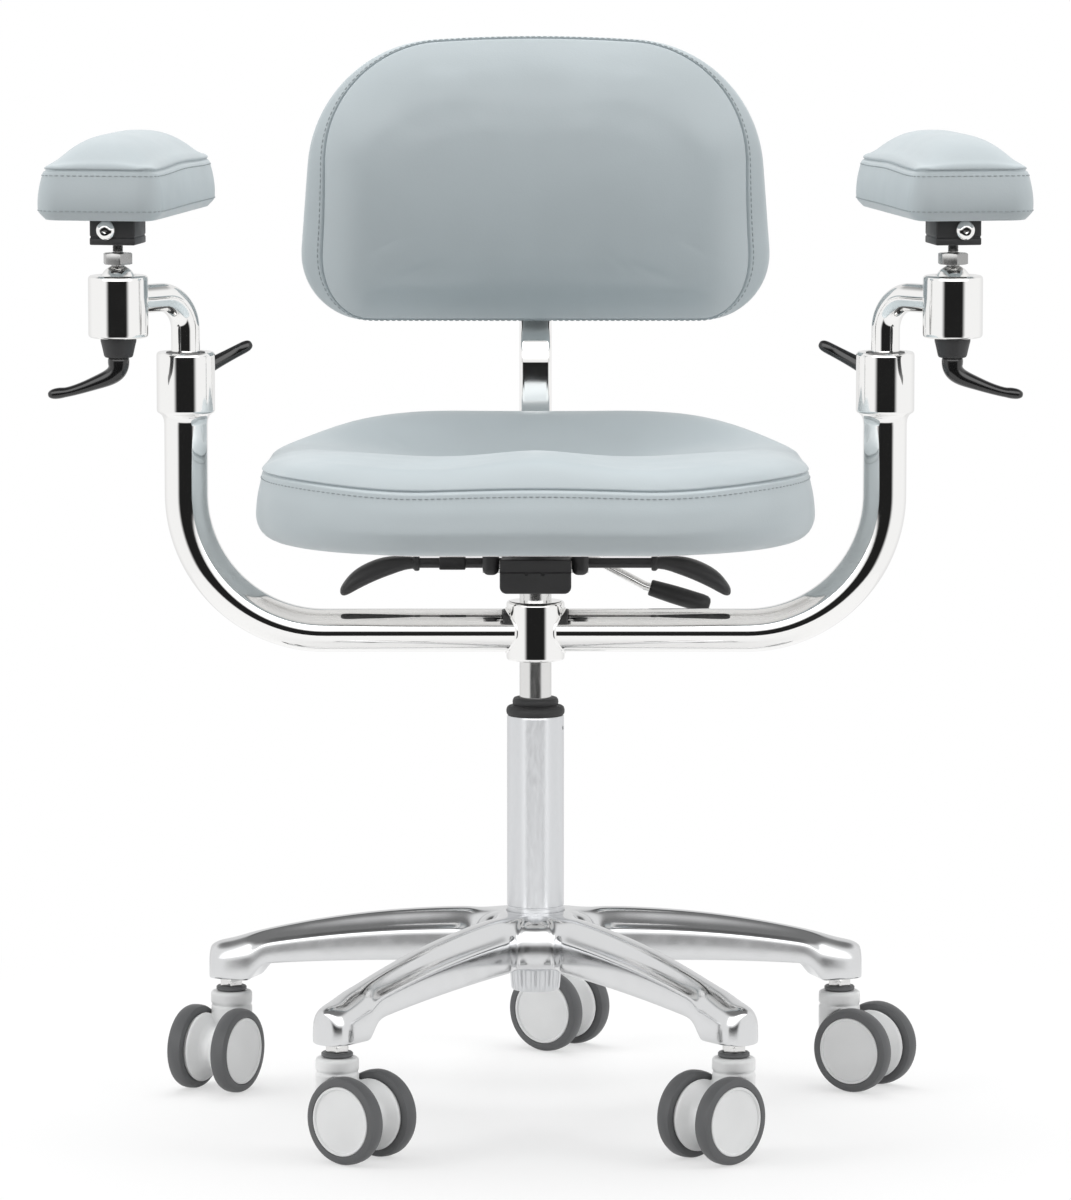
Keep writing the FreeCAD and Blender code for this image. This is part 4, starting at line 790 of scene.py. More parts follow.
class CHAIR_OT_casters(bpy.types.Operator):
    """Mould the twin-wheel casters and their stems"""
    bl_idname = "chair.casters"
    bl_label = "Casters"

    def execute(self, context):
        housing, wheel = self.housing(), self.wheel()
        seal, nut = self.stem()
        seals, nuts = [], []
        for index, heading in enumerate(CASTER_HEADINGS):
            number = index + 1
            bearing = math.pi / 2 + index * STAR_STEP
            stem = moved(STEM_CIRCLE * math.cos(bearing), STEM_CIRCLE * math.sin(bearing), 0)
            here = stem @ turned_about("Z", math.radians(heading))
            shell = copied(housing, f"housing_{number}", here)
            fit(shell, f"caster_{number}", "caster_plastic", "caster plastic", f"caster_housing_{number}",
                smooth=50)
            for side, turn in (("left", -math.pi / 2), ("right", math.pi / 2)):
                axle = (here @ moved(CASTER_TRAIL, 0, AXLE_HEIGHT) @ turned_about("X", turn)
                        @ moved(0, 0, WHEEL_INNER))
                disc = copied(wheel, f"wheel_{number}_{side}", axle)
                fit(disc, f"wheel_{number}_{side}", "wheel_plastic", None, f"caster_wheel_{number}_{side}")
            seals.append(copied(seal, f"seal_{number}", stem))
            nuts.append(copied(nut, f"hex_{number}", stem))
        fit(joined("stem_seals", *seals), "base", "black_rubber", "tread plastic")
        fit(joined("stem_hexes", *nuts), "base", "bright_steel", "bright steel", "caster_stems")
        for pattern in (housing, wheel, seal, nut):
            bpy.data.objects.remove(pattern)
        return {"FINISHED"}

    def wheel(self):
        """A wheel that lies on its inner face, with a soft tread round a dished disc."""
        wheel = turned("wheel_pattern", [
            (4.2, 0.2), (28.6, 0.2), (29.4, 0.8), (30.2, 0.2), (33.6, 0.1), (36.1, 1.3), (37.2, 3.6),
            (37.5, 7.5), (37.2, 11.4), (36.1, 13.7), (33.6, 14.8), (30.5, 14.9), (29.9, 14.4), (29.7, 13.2),
            (29.5, 14.5), (28.9, 15.0), (27.9, 15.0), (27.2, 14.5), (26.7, 13.6), (24.5, 13.5), (10.0, 14.1),
            (5.6, 14.4), (POLE, 14.5),
        ], around=72)
        for finish in ("caster plastic", "tread plastic"):
            wheel.data.materials.append(bpy.data.materials[finish])
        for face in wheel.data.polygons:
            reach = math.hypot(face.center.x, face.center.y) / MM
            face.material_index = int(reach > 29.65)
        return wheel

    def housing(self):
        """A waisted spool between the wheels that carries the swivel collar."""
        spool = turned("housing_pattern", [
            (5.0, -14.2), (29.6, -14.2), (30.8, -13.6), (31.0, -12.4), (30.0, -11.2), (26.0, -8.8),
            (21.5, -6.0), (18.6, -3.0), (17.6, 0.0), (18.6, 3.0), (21.5, 6.0), (26.0, 8.8), (30.0, 11.2),
            (31.0, 12.4), (30.8, 13.6), (29.6, 14.2), (5.0, 14.2),
        ])
        placed(spool, moved(CASTER_TRAIL, 0, AXLE_HEIGHT) @ turned_about("X", math.pi / 2))
        collar = turned("collar_pattern", [
            (POLE, 36.0), (17.0, 36.0), (18.2, 40.0), (18.5, 60.0), (18.5, 72.0), (17.3, 73.0), (17.3, 74.4),
            (18.5, 75.4), (18.5, 83.6), (17.6, 85.4), (16.0, 86.0), (POLE, 86.0),
        ])
        wells = []
        for turn in (-1, 1):
            well = turned("well", [(38.7, 14.2), (38.7, 60.0)])
            wells.append(placed(well, moved(CASTER_TRAIL, 0, AXLE_HEIGHT)
                                @ turned_about("X", turn * math.pi / 2)))
        cut_by(collar, *wells)
        housing = joined("housing_pattern", spool, collar)
        modify(housing, "REMESH", mode="VOXEL", voxel_size=0.85 * MM)
        modify(housing, "SMOOTH", factor=0.5, iterations=5)
        return housing

    def stem(self):
        seal = turned("seal_pattern", [
            (5.6, 86.4), (12.4, 86.4), (13.5, 87.2), (13.5, 89.4), (12.6, 90.3), (5.6, 90.3)])
        return seal, hexagon("hex_pattern", 19.0, 90.3, 98.1, 1.2)


class CHAIR_OT_column(bpy.types.Operator):
    """Turn the gas column and its seals"""
    bl_idname = "chair.column"
    bl_label = "Gas column"

    def execute(self, context):
        column = turned("column", [
            (18.0, 127.0), (24.5, 127.0), (25.0, 128.0), (25.0, 177.0), (24.6, 177.5), (24.6, 178.3),
            (25.0, 178.8), (25.0, 345.4), (24.5, 346.6), (23.6, 347.0), (15.2, 347.0),
        ], around=96)
        vent = turned("vent", [(1.7, 20.0), (1.7, 30.0)], around=20)
        placed(vent, moved(0, 0, 336) @ turned_about("Z", math.radians(-16)) @ turned_about("Y", math.pi / 2))
        cut_by(column, vent)
        column = joined("column", column, self.tail())
        fit(column, "base", "satin_aluminium", "satin aluminium", "column_tube")
        seals = turned("seals", [
            (14.8, 347.0), (24.2, 347.0), (25.2, 347.9), (25.6, 349.6), (25.6, 351.6), (25.0, 353.6),
            (23.8, 354.7), (22.2, 355.0), (20.0, 355.1), (19.6, 355.6), (20.0, 356.8), (20.2, 358.6),
            (19.8, 360.6), (18.8, 362.0), (17.2, 362.5), (14.6, 362.5),
        ], around=72)
        fit(seals, "base", "black_rubber", "black rubber", "column_seals")
        return {"FINISHED"}

    def tail(self):
        """The fluted end of the column that shows under the hub."""
        return fluted("tail", [
            (17.0, 103.3, 0), (20.4, 103.3, 0), (21.2, 104.2, 0.6), (21.8, 110.0, 1), (22.4, 119.0, 1),
            (22.6, 122.6, 0.8), (23.8, 123.6, 0), (24.6, 124.4, 0), (24.6, 127.8, 0), (18.0, 127.8, 0),
        ], around=132, flutes=22, bite=0.9)


# Arms
class CHAIR_OT_yoke(bpy.types.Operator):
    """Bend the arm tubes and weld them to the yoke"""
    bl_idname = "chair.yoke"
    bl_label = "Yoke and arm tubes"

    radius, bend_radius, start = 19.0, 120.0, 14.0

    def execute(self, context):
        collar = turned("yoke", [
            (14.2, 395.5), (22.6, 395.5), (24.3, 395.9), (25.2, 396.8), (25.5, 398.4), (25.5, 444.6),
            (25.2, 446.2), (24.3, 447.1), (22.6, 447.5), (14.2, 447.5),
        ], around=96)
        welds = [self.weld(sign) for sign in SIDES.values()]
        fit(joined("yoke", collar, *welds), "lift", "chrome", "chrome plate", "yoke_collar")
        for side, sign in SIDES.items():
            tube = self.tube(f"arm_{side}")
            if sign < 0:
                placed(tube, mirrored())
            fit(tube, "lift", "chrome", "chrome plate", f"arm_tube_{side}")
        return {"FINISHED"}

    def tube(self, name):
        low = YOKE_MIDDLE
        tube = start_tube(name, self.radius, (self.start, 0, low), turned_about("Y", math.pi / 2), around=64)
        run(ARM_SPREAD - self.bend_radius - self.start, 0, 0)
        bend(-math.pi / 2, (ARM_SPREAD - self.bend_radius, 0, low + self.bend_radius), (0, 1, 0), 32)
        draw_out([
            (19.0, low + self.bend_radius), (19.0, 603.0), (19.5, 607.2), (20.9, 610.4), (23.0, 612.3),
            (24.6, 613.2), (25.5, 615.0), (25.5, 663.2), (25.1, 664.9), (24.0, 666.0), (22.6, 666.0),
            (20.8, 665.6), (17.2, 665.6), (16.8, 664.6), (12.7, 664.6), (12.7, 640.0),
        ], centre=(ARM_SPREAD, 0))
        close_edit()
        return tube

    def weld(self, sign):
        """A bead along the saddle where a tube meets the collar."""
        leave_edit()
        bpy.ops.mesh.primitive_torus_add(major_radius=19.3 * MM, minor_radius=1.1 * MM, major_segments=72,
                                         minor_segments=10, rotation=(0, math.pi / 2, 0))
        bead = named(bpy.context.object, "weld")
        bpy.ops.object.transform_apply(location=True, rotation=True, scale=True)
        for vertex in bead.data.vertices:
            saddle = math.sqrt(max(25.5 ** 2 - (vertex.co.y / MM) ** 2, 0))
            vertex.co.x = sign * (vertex.co.x + saddle * MM)
            vertex.co.z += YOKE_MIDDLE * MM
        return bead


def socket_spot(sign):
    return (sign * (ARM_SPREAD + POST_REACH * math.cos(POST_SPLAY)), -POST_REACH * math.sin(POST_SPLAY))


class CHAIR_OT_posts(bpy.types.Operator):
    """Bend the arm posts and turn the ball joints on them"""
    bl_idname = "chair.posts"
    bl_label = "Arm posts and ball joints"

    radius, foot, bend_start, bend_radius, end_short = 12.5, 541.0, 685.0, 30.0, 14.0

    def execute(self, context):
        for side, sign in SIDES.items():
            spot = socket_spot(sign)
            post = self.post(f"post_{side}", sign)
            fit(post, f"post_{side}", "chrome", "chrome plate", f"elbow_post_{side}")
            socket = placed(self.socket(f"socket_{side}"), moved(*spot, 0))
            fit(socket, f"post_{side}", "chrome", "chrome plate", f"pad_socket_{side}")
            stud = placed(self.stud(f"stud_{side}"), moved(*spot, 0))
            fit(stud, f"stud_{side}", "chrome", "plain steel", f"pad_stud_{side}")
            turn = moved(*spot, 0) @ turned_about("Z", sign * PAD_TOE)
            carrier = placed(self.carrier(f"block_{side}"), turn)
            fit(carrier, f"pad_{side}", "black_plastic", "black plastic", f"pad_block_{side}")
            screw = placed(self.screw(f"screw_{side}"),
                           turn @ moved(sign * 5, -21, 777) @ turned_about("X", math.pi / 2))
            fit(screw, f"pad_{side}", "chrome", "chrome plate", f"pad_screw_{side}")
        return {"FINISHED"}

    def post(self, name, sign):
        heading = Vector((sign * math.cos(POST_SPLAY), -math.sin(POST_SPLAY), 0))
        post = start_tube(name, self.radius, (sign * ARM_SPREAD, 0, self.foot), Matrix.Identity(4))
        run(0, 0, self.bend_start - self.foot)
        centre = Vector((sign * ARM_SPREAD, 0, self.bend_start)) + heading * self.bend_radius
        bend(math.pi / 2, centre, Vector((0, 0, 1)).cross(heading), 16)
        run(*(heading * (POST_REACH - self.bend_radius - self.end_short)))
        close_edit()
        return post

    def socket(self, name):
        return turned(name, [
            (8.0, 683.0), (22.6, 683.0), (24.4, 683.4), (25.6, 684.5), (26.0, 686.4), (26.0, 733.6),
            (25.6, 735.5), (24.4, 736.6), (22.6, 737.0), (16.8, 737.0), (15.4, 736.2), (15.9, 731.0),
        ], around=72)

    def stud(self, name):
        nut = hexagon("nut", 23.0, 746.4, 756.2, 0.7)
        placed(nut, turned_about("Z", math.radians(12)))
        thread = [(4.2 + 0.4 * (step % 2), 757.6 + 0.6 * step) for step in range(11)]
        neck = turned("neck", [
            (5.0, 743.0), (6.0, 746.4), (6.0, 755.8), (5.2, 756.6), (4.4, 757.0), *thread, (4.2, 778.0),
        ], around=40)
        return joined(name, nut, neck)

    def carrier(self, name):
        """A black block with a parting line low down."""
        lower = block("carrier_lower", (-20, -21, 764), (20, 21, 770.4), 1.2)
        core = block("carrier_core", (-19.2, -20.2, 768), (19.2, 20.2, 773), 0.4)
        upper = block("carrier_upper", (-20, -21, 771.0), (20, 21, 788), 1.6)
        return joined(name, lower, core, upper)

    def screw(self, name):
        """A button-head screw with a hexagon recess, its head along +Z."""
        head = turned(name, [
            (3.9, -11.5), (4.0, 0.0), (8.2, 0.0), (8.8, 0.5), (8.8, 1.8), (8.5, 3.2), (7.7, 4.7), (6.4, 6.0),
            (5.0, 6.7), (4.2, 6.9), (POLE, 6.9),
        ], around=48)
        recess = hexagon("recess", 5.0, 3.2, 12.0, 0.05)
        return cut_by(head, recess)


class CHAIR_OT_clamps(bpy.types.Operator):
    """Mould the four clamping levers"""
    bl_idname = "chair.clamps"
    bl_label = "Clamping levers"

    # Reach, height, half width and half thickness along the handle
    stations = (
        (0, -17.5, 8.4, 8.4), (0, -18.2, 9.4, 9.4), (0, -20.5, 9.5, 9.5), (0.1, -25.0, 9.4, 9.4),
        (1.6, -29.6, 9.0, 8.6), (6.0, -33.4, 8.2, 7.6), (12.0, -36.2, 7.4, 6.8), (20.0, -39.2, 6.6, 6.0),
        (30.0, -43.0, 5.9, 5.0), (41.0, -46.4, 5.5, 4.4), (47.0, -47.6, 5.4, 4.3), (50.0, -47.9, 5.4, 4.9),
        (55.0, -48.6, 5.3, 4.8), (58.4, -49.2, 4.6, 4.0), (60.6, -49.6, 3.0, 2.5), (61.2, -49.7, 1.4, 1.2),
    )

    def execute(self, context):
        hub, arm = self.hub(), self.arm()
        lift = math.radians(27)
        for side, sign in SIDES.items():
            reach = Vector((-sign * math.cos(lift), 0, math.sin(lift)))
            inward = Vector((0, -1, 0))
            axes = Matrix((reach, inward.cross(reach), inward)).transposed().to_4x4()
            spots = {
                "post": moved(sign * ARM_SPREAD, 25.5, 639.5) @ axes,
                "pad": moved(*socket_spot(sign), 683) @ turned_about("Z", 0 if sign > 0 else math.pi),
            }
            for kind, spot in spots.items():
                body = f"{kind}_lever_{side}"
                base = copied(hub, f"{kind}_hub_{side}", spot)
                fit(base, body, "black_gloss", "black plastic")
                handle = copied(arm, f"{kind}_handle_{side}", spot)
                fit(handle, body, "black_gloss", "black gloss", body, smooth=50)
        for pattern in (hub, arm):
            bpy.data.objects.remove(pattern)
        return {"FINISHED"}

    def hub(self):
        return turned("hub_pattern", [
            (5.0, -0.3), (14.8, -0.3), (15.5, -1.0), (15.5, -3.2), (14.9, -5.2), (12.6, -15.4), (11.8, -16.8),
            (10.6, -17.2), (8.8, -17.3), (8.8, -20.0),
        ], around=48)

    def arm(self):
        """A handle swept from a round neck through an elbow to a flat arm with a raised tip."""
        rows = []
        path = self.stations
        neighbours = zip(path[:1] + path, path, path[1:] + path[-1:])
        for before, (reach, height, half_width, half_thick), after in neighbours:
            along = Vector((after[0] - before[0], 0, after[1] - before[1])).normalized()
            out = Vector((along.z, 0, -along.x))
            rows.append([(reach + out.x * b, a, height + out.z * b)
                         for a, b in rounded_ring(half_width, half_thick, 0.85)])
        return subdivided(closed_skin("arm_pattern", rows), 2)


# Mechanism
class CHAIR_OT_mechanism(bpy.types.Operator):
    """Build the tilt mechanism, its cover and its levers"""
    bl_idname = "chair.mechanism"
    bl_label = "Mechanism and levers"

    lever_axis = (0, -15, 482.5)
    rod_start, rod_lead, rod_bend, rod_slope, rod_end = (21.5, 42, 480.5), 23.0, 20.0, 46.0, 16.0
    steep, flat = math.radians(28), math.radians(17)
    # Reach, height, half depth, half thickness and squareness along a paddle
    paddle_stations = (
        (101.0, 0.0, 6.0, 6.0, 1.0), (101.6, 0.0, 7.2, 7.2, 1.0), (105.4, 0.0, 7.4, 7.4, 1.0),
        (106.4, 0.0, 6.0, 5.6, 1.0), (107.4, 0.0, 5.8, 5.2, 1.0), (109.0, 0.1, 6.8, 5.6, 0.9),
        (112.0, 0.2, 8.0, 6.0, 0.85), (117.0, -0.4, 9.6, 6.6, 0.8), (124.0, -1.8, 11.2, 7.7, 0.75),
        (131.0, -3.4, 12.2, 8.6, 0.7), (139.0, -6.0, 12.8, 9.2, 0.7), (147.0, -9.5, 13.0, 9.4, 0.7),
        (154.0, -13.1, 12.9, 9.3, 0.7), (160.0, -17.0, 12.4, 8.8, 0.7), (164.5, -20.6, 11.6, 7.6, 0.75),
        (167.6, -23.0, 10.4, 5.8, 0.8), (169.6, -24.2, 8.4, 3.8, 0.85), (170.5, -24.6, 5.2, 1.8, 0.9),
    )

    def execute(self, context):
        fit(self.shell(), "lift", "black_metal", "black metal", "mechanism_body")
        fit(self.cover(), "lift", "black_plastic", "black plastic", "mechanism_cover")
        for name, sign in (("tilt_lever", -1), ("height_lever", 1)):
            turn = moved(*self.lever_axis) @ turned_about("Z", 0 if sign > 0 else math.pi)
            shaft = turned(f"{name}_shaft", [
                (POLE, 23.0), (3.9, 23.0), (4.5, 23.8), (4.5, 60.0), (4.5, 108.0), (POLE, 108.0)], around=32)
            placed(shaft, turn @ turned_about("Y", math.pi / 2))
            if sign < 0:
                lug = block("lug", (-84, -22, 477.0), (-61, -8, 488.0), 1.2)
                shaft = joined(f"{name}_shaft", shaft, lug)
            fit(shaft, name, "black_plastic", "black metal")
            fit(placed(self.paddle(f"{name}_paddle"), turn), name, "black_plastic", "black plastic", name,
                smooth=50)
        fit(self.rod(), "back_lever", "chrome", "chrome plate", "back_lever_rod")
        fit(self.grip(), "back_lever", "black_plastic", "black plastic", "back_lever_grip")
        return {"FINISHED"}

    def shell(self):
        body = block("mechanism", (-28.5, -58, 461), (28.5, 112, 489.5), 3.0, 4)
        slot = block("slot", (-25.5, 65, 455), (25.5, 125, 489.4), 0.5)
        cut_by(body, slot)
        boss = turned("boss", [(14.1, 459.4), (20.0, 459.4), (21.5, 460.4), (22.0, 462.5), (22.0, 470.0)])
        rim = block("rim", (-29.5, -50, 486.5), (29.5, 110, 489.4), 0.8)
        cut_by(rim, block("rim_slot", (-25.5, 65, 480), (25.5, 125, 495), 0.3))
        spots = [(x, y, 461.2) for x in (-19, 19) for y in (-32, 46)]
        profile = [(POLE, 0), (5.0, 0), (5.4, 0.6), (5.4, 1.4), (4.2, 2.4), (POLE, 2.6)]
        heads = screw_heads(profile, spots, turned_about("X", math.pi))
        return joined("mechanism", body, boss, rim, *heads)

    def cover(self):
        """The moulded front cap, with a parting line and two small notches."""
        leave_edit()
        bpy.ops.mesh.primitive_cube_add(size=1)
        cap = named(bpy.context.object, "front_cover")
        placed(cap, moved(0, -56.5, 475.8) @ Matrix.Diagonal((62 * MM, 19 * MM, 29.4 * MM, 1)))
        choose(cap)
        bpy.ops.object.mode_set(mode="EDIT")
        bpy.ops.mesh.select_mode(type="EDGE")
        bpy.ops.mesh.select_all(action="DESELECT")
        bpy.ops.object.mode_set(mode="OBJECT")
        for edge in cap.data.edges:
            ends = [cap.data.vertices[index].co for index in edge.vertices]
            low = all(end.z < 470 * MM for end in ends)
            edge.select = low and abs(ends[0].x - ends[1].x) < MM
        bpy.ops.object.mode_set(mode="EDIT")
        bpy.ops.mesh.bevel(offset=6 * MM, segments=8, affect="EDGES")
        bpy.ops.object.mode_set(mode="OBJECT")
        softened(cap, 1.2, 3, angle=40)
        cuts = [block("parting", (-40, -70, 479.0), (40, -64.2, 480.3), 0.05, 1)]
        for x in (-8, 6.4):
            cuts.append(block("notch", (x - 1.5, -70, 477.0), (x + 1.5, -64.0, 480.2), 0.05, 1))
        return cut_by(cap, *cuts)

    def paddle(self, name):
        """A moulded paddle on the end of a shaft, curving down to a hooked tip."""
        rows = []
        for reach, height, half_depth, half_thick, square in self.paddle_stations:
            rows.append([(reach, y, height + z) for y, z in rounded_ring(half_depth, half_thick, square)])
        return subdivided(closed_skin(name, rows), 2)

    def slope_end(self):
        """Where the steep run of the rod ends and its second bend begins."""
        x, y, z = self.rod_start
        forward, down = math.cos(self.steep), math.sin(self.steep)
        return Vector((x + self.rod_lead + self.rod_bend * down + self.rod_slope * forward, y,
                       z - self.rod_bend * (1 - forward) - self.rod_slope * down))

    def rod(self):
        x, y, z = self.rod_start
        rod = start_tube("rod", 4.0, self.rod_start, turned_about("Y", math.pi / 2), around=32)
        run(self.rod_lead, 0, 0)
        bend(self.steep, (x + self.rod_lead, y, z - self.rod_bend), (0, 1, 0), 8)
        run(self.rod_slope * math.cos(self.steep), 0, -self.rod_slope * math.sin(self.steep))
        upwards = Vector((math.sin(self.steep), 0, math.cos(self.steep)))
        bend(self.flat - self.steep, self.slope_end() + upwards * self.rod_bend, (0, 1, 0), 4)
        run(self.rod_end * math.cos(self.flat), 0, -self.rod_end * math.sin(self.flat))
        close_edit()
        return rod

    def grip(self):
        grip = turned("grip", [
            (4.05, 3.4), (6.4, 3.0), (7.2, 3.8), (7.4, 8.0), (7.8, 16.0), (8.1, 24.0), (8.2, 34.0),
            (8.1, 50.0), (7.6, 54.4), (6.0, 57.0), (3.6, 58.0), (POLE, 58.0),
        ], around=40)
        start = self.slope_end() + Vector((
            math.sin(self.steep) - math.sin(self.flat), 0,
            math.cos(self.steep) - math.cos(self.flat))) * self.rod_bend
        return placed(grip, moved(*start) @ turned_about("Y", math.pi / 2 + self.flat))


# Cushions
def smooth_step(value, low, high):
    t = min(max((value - low) / (high - low), 0), 1)
    return t * t * (3 - 2 * t)


def filleted_outline(corners, count, arc_steps=24):
    """Even points round a polygon with filleted corners, each with its outward normal."""
    dense = []
    for index, (x, y, radius) in enumerate(corners):
        corner = Vector((x, y))
        before = (Vector(corners[index - 1][:2]) - corner).normalized()
        after = (Vector(corners[(index + 1) % len(corners)][:2]) - corner).normalized()
        half = before.angle(after) / 2
        centre = corner + (before + after).normalized() * radius / math.sin(half)
        first = corner + before * radius / math.tan(half) - centre
        start, sweep = math.atan2(first.y, first.x), math.pi - 2 * half
        for step in range(arc_steps + 1):
            angle = start + sweep * step / arc_steps
            dense.append(centre + Vector((math.cos(angle), math.sin(angle))) * radius)
    lengths = [0.0]
    for here, there in zip(dense, dense[1:] + dense[:1]):
        lengths.append(lengths[-1] + (there - here).length)
    points, at = [], 0
    for step in range(count):
        target = lengths[-1] * step / count
        while lengths[at + 1] < target:
            at += 1
        share = (target - lengths[at]) / max(lengths[at + 1] - lengths[at], 1e-9)
        points.append(dense[at].lerp(dense[(at + 1) % len(dense)], share))
    outline = []
    for index, point in enumerate(points):
        along = points[(index + 1) % count] - points[index - 1]
        outline.append((point, Vector((along.y, -along.x)).normalized()))
    return outline


def rounded_point(point):
    return tuple(round(part, 2) for part in point)


def plump(piece, sewn, cap, frames=20):
    """Swell a cushion by cloth pressure while its sewn points stay, and limit how far any point goes."""
    start = [vertex.co.copy() for vertex in piece.data.vertices]
    group = piece.vertex_groups.new(name="sewn")
    group.add([index for index, point in enumerate(start) if sewn(point / MM)], 1.0, "REPLACE")
    choose(piece)
    bpy.ops.object.modifier_add(type="CLOTH")
    cloth = piece.modifiers[-1]
    cloth.settings.quality = 6
    cloth.settings.mass = 0.3
    cloth.settings.use_pressure = True
    cloth.settings.uniform_pressure_force = bpy.context.scene.chair_sewing.pressure
    cloth.settings.effector_weights.gravity = 0
    cloth.settings.vertex_group_mass = group.name
    cloth.settings.tension_stiffness = 25
    cloth.settings.compression_stiffness = 25
    cloth.settings.bending_stiffness = 2
    cloth.collision_settings.use_collision = False
    cloth.point_cache.frame_start = 1
    cloth.point_cache.frame_end = frames
    for step in range(1, frames + 1):
        bpy.context.scene.frame_set(step)
    bpy.ops.object.modifier_apply(modifier=cloth.name)
    bpy.context.scene.frame_set(1)
    settle(piece, start, cap)
    piece.vertex_groups.clear()


def settle(piece, start, cap, passes=30):
    """Keep the broad swelling of a cushion, without the folds that the pressure left."""
    mesh = piece.data
    shifts = [vertex.co - before for vertex, before in zip(mesh.vertices, start)]
    held = [shift.length < 1e-7 for shift in shifts]
    for _ in range(passes):
        totals = [Vector() for _ in shifts]
        counts = [0] * len(shifts)
        for edge in mesh.edges:
            first, second = edge.vertices
            totals[first] += shifts[second]
            totals[second] += shifts[first]
            counts[first] += 1
            counts[second] += 1
        shifts = [shift if fixed else total / count
                  for shift, fixed, total, count in zip(shifts, held, totals, counts)]
    outward = [vertex.normal.copy() for vertex in mesh.vertices]
    for vertex, before, shift, normal in zip(mesh.vertices, start, shifts, outward):
        vertex.co = before + normal * cap * MM * smooth_step(shift.dot(normal), 0, 2 * cap * MM)


def stitched(name, piece, points, body):
    """A row of stitches: one bead arrayed along a closed line on the cushion."""
    sewing = bpy.context.scene.chair_sewing
    line = bpy.data.curves.new(f"{name}_line", "CURVE")
    line.dimensions = "3D"
    spline = line.splines.new("POLY")
    spline.points.add(len(points) - 1)
    for knot, point in zip(spline.points, points):
        _, spot, normal, _ = piece.closest_point_on_mesh(Vector(point) * MM)
        knot.co = (*(spot + normal * sewing.thread * 0.12), 1)
    spline.use_cyclic_u = True
    path = bpy.data.objects.new(f"{name}_line", line)
    bpy.context.scene.collection.objects.link(path)
    leave_edit()
    bpy.ops.mesh.primitive_uv_sphere_add(segments=6, ring_count=5, radius=0.5)
    row = named(bpy.context.object, name)
    bead = Matrix.Diagonal((sewing.thread, sewing.thread, sewing.length, 1))
    placed(row, turned_about("Y", math.pi / 2) @ bead)
    length = spline.calc_length()
    count = round(length / sewing.pitch)
    modify(row, "ARRAY", count=count, use_relative_offset=False, use_constant_offset=True,
           constant_offset_displace=(length / count, 0, 0))
    modify(row, "CURVE", object=path, deform_axis="POS_X")
    bpy.data.objects.remove(path)
    # The thread's darker colour is painted shade of the stitches.
    return fit(row, body, "upholstery", "sewing thread", smooth=80)


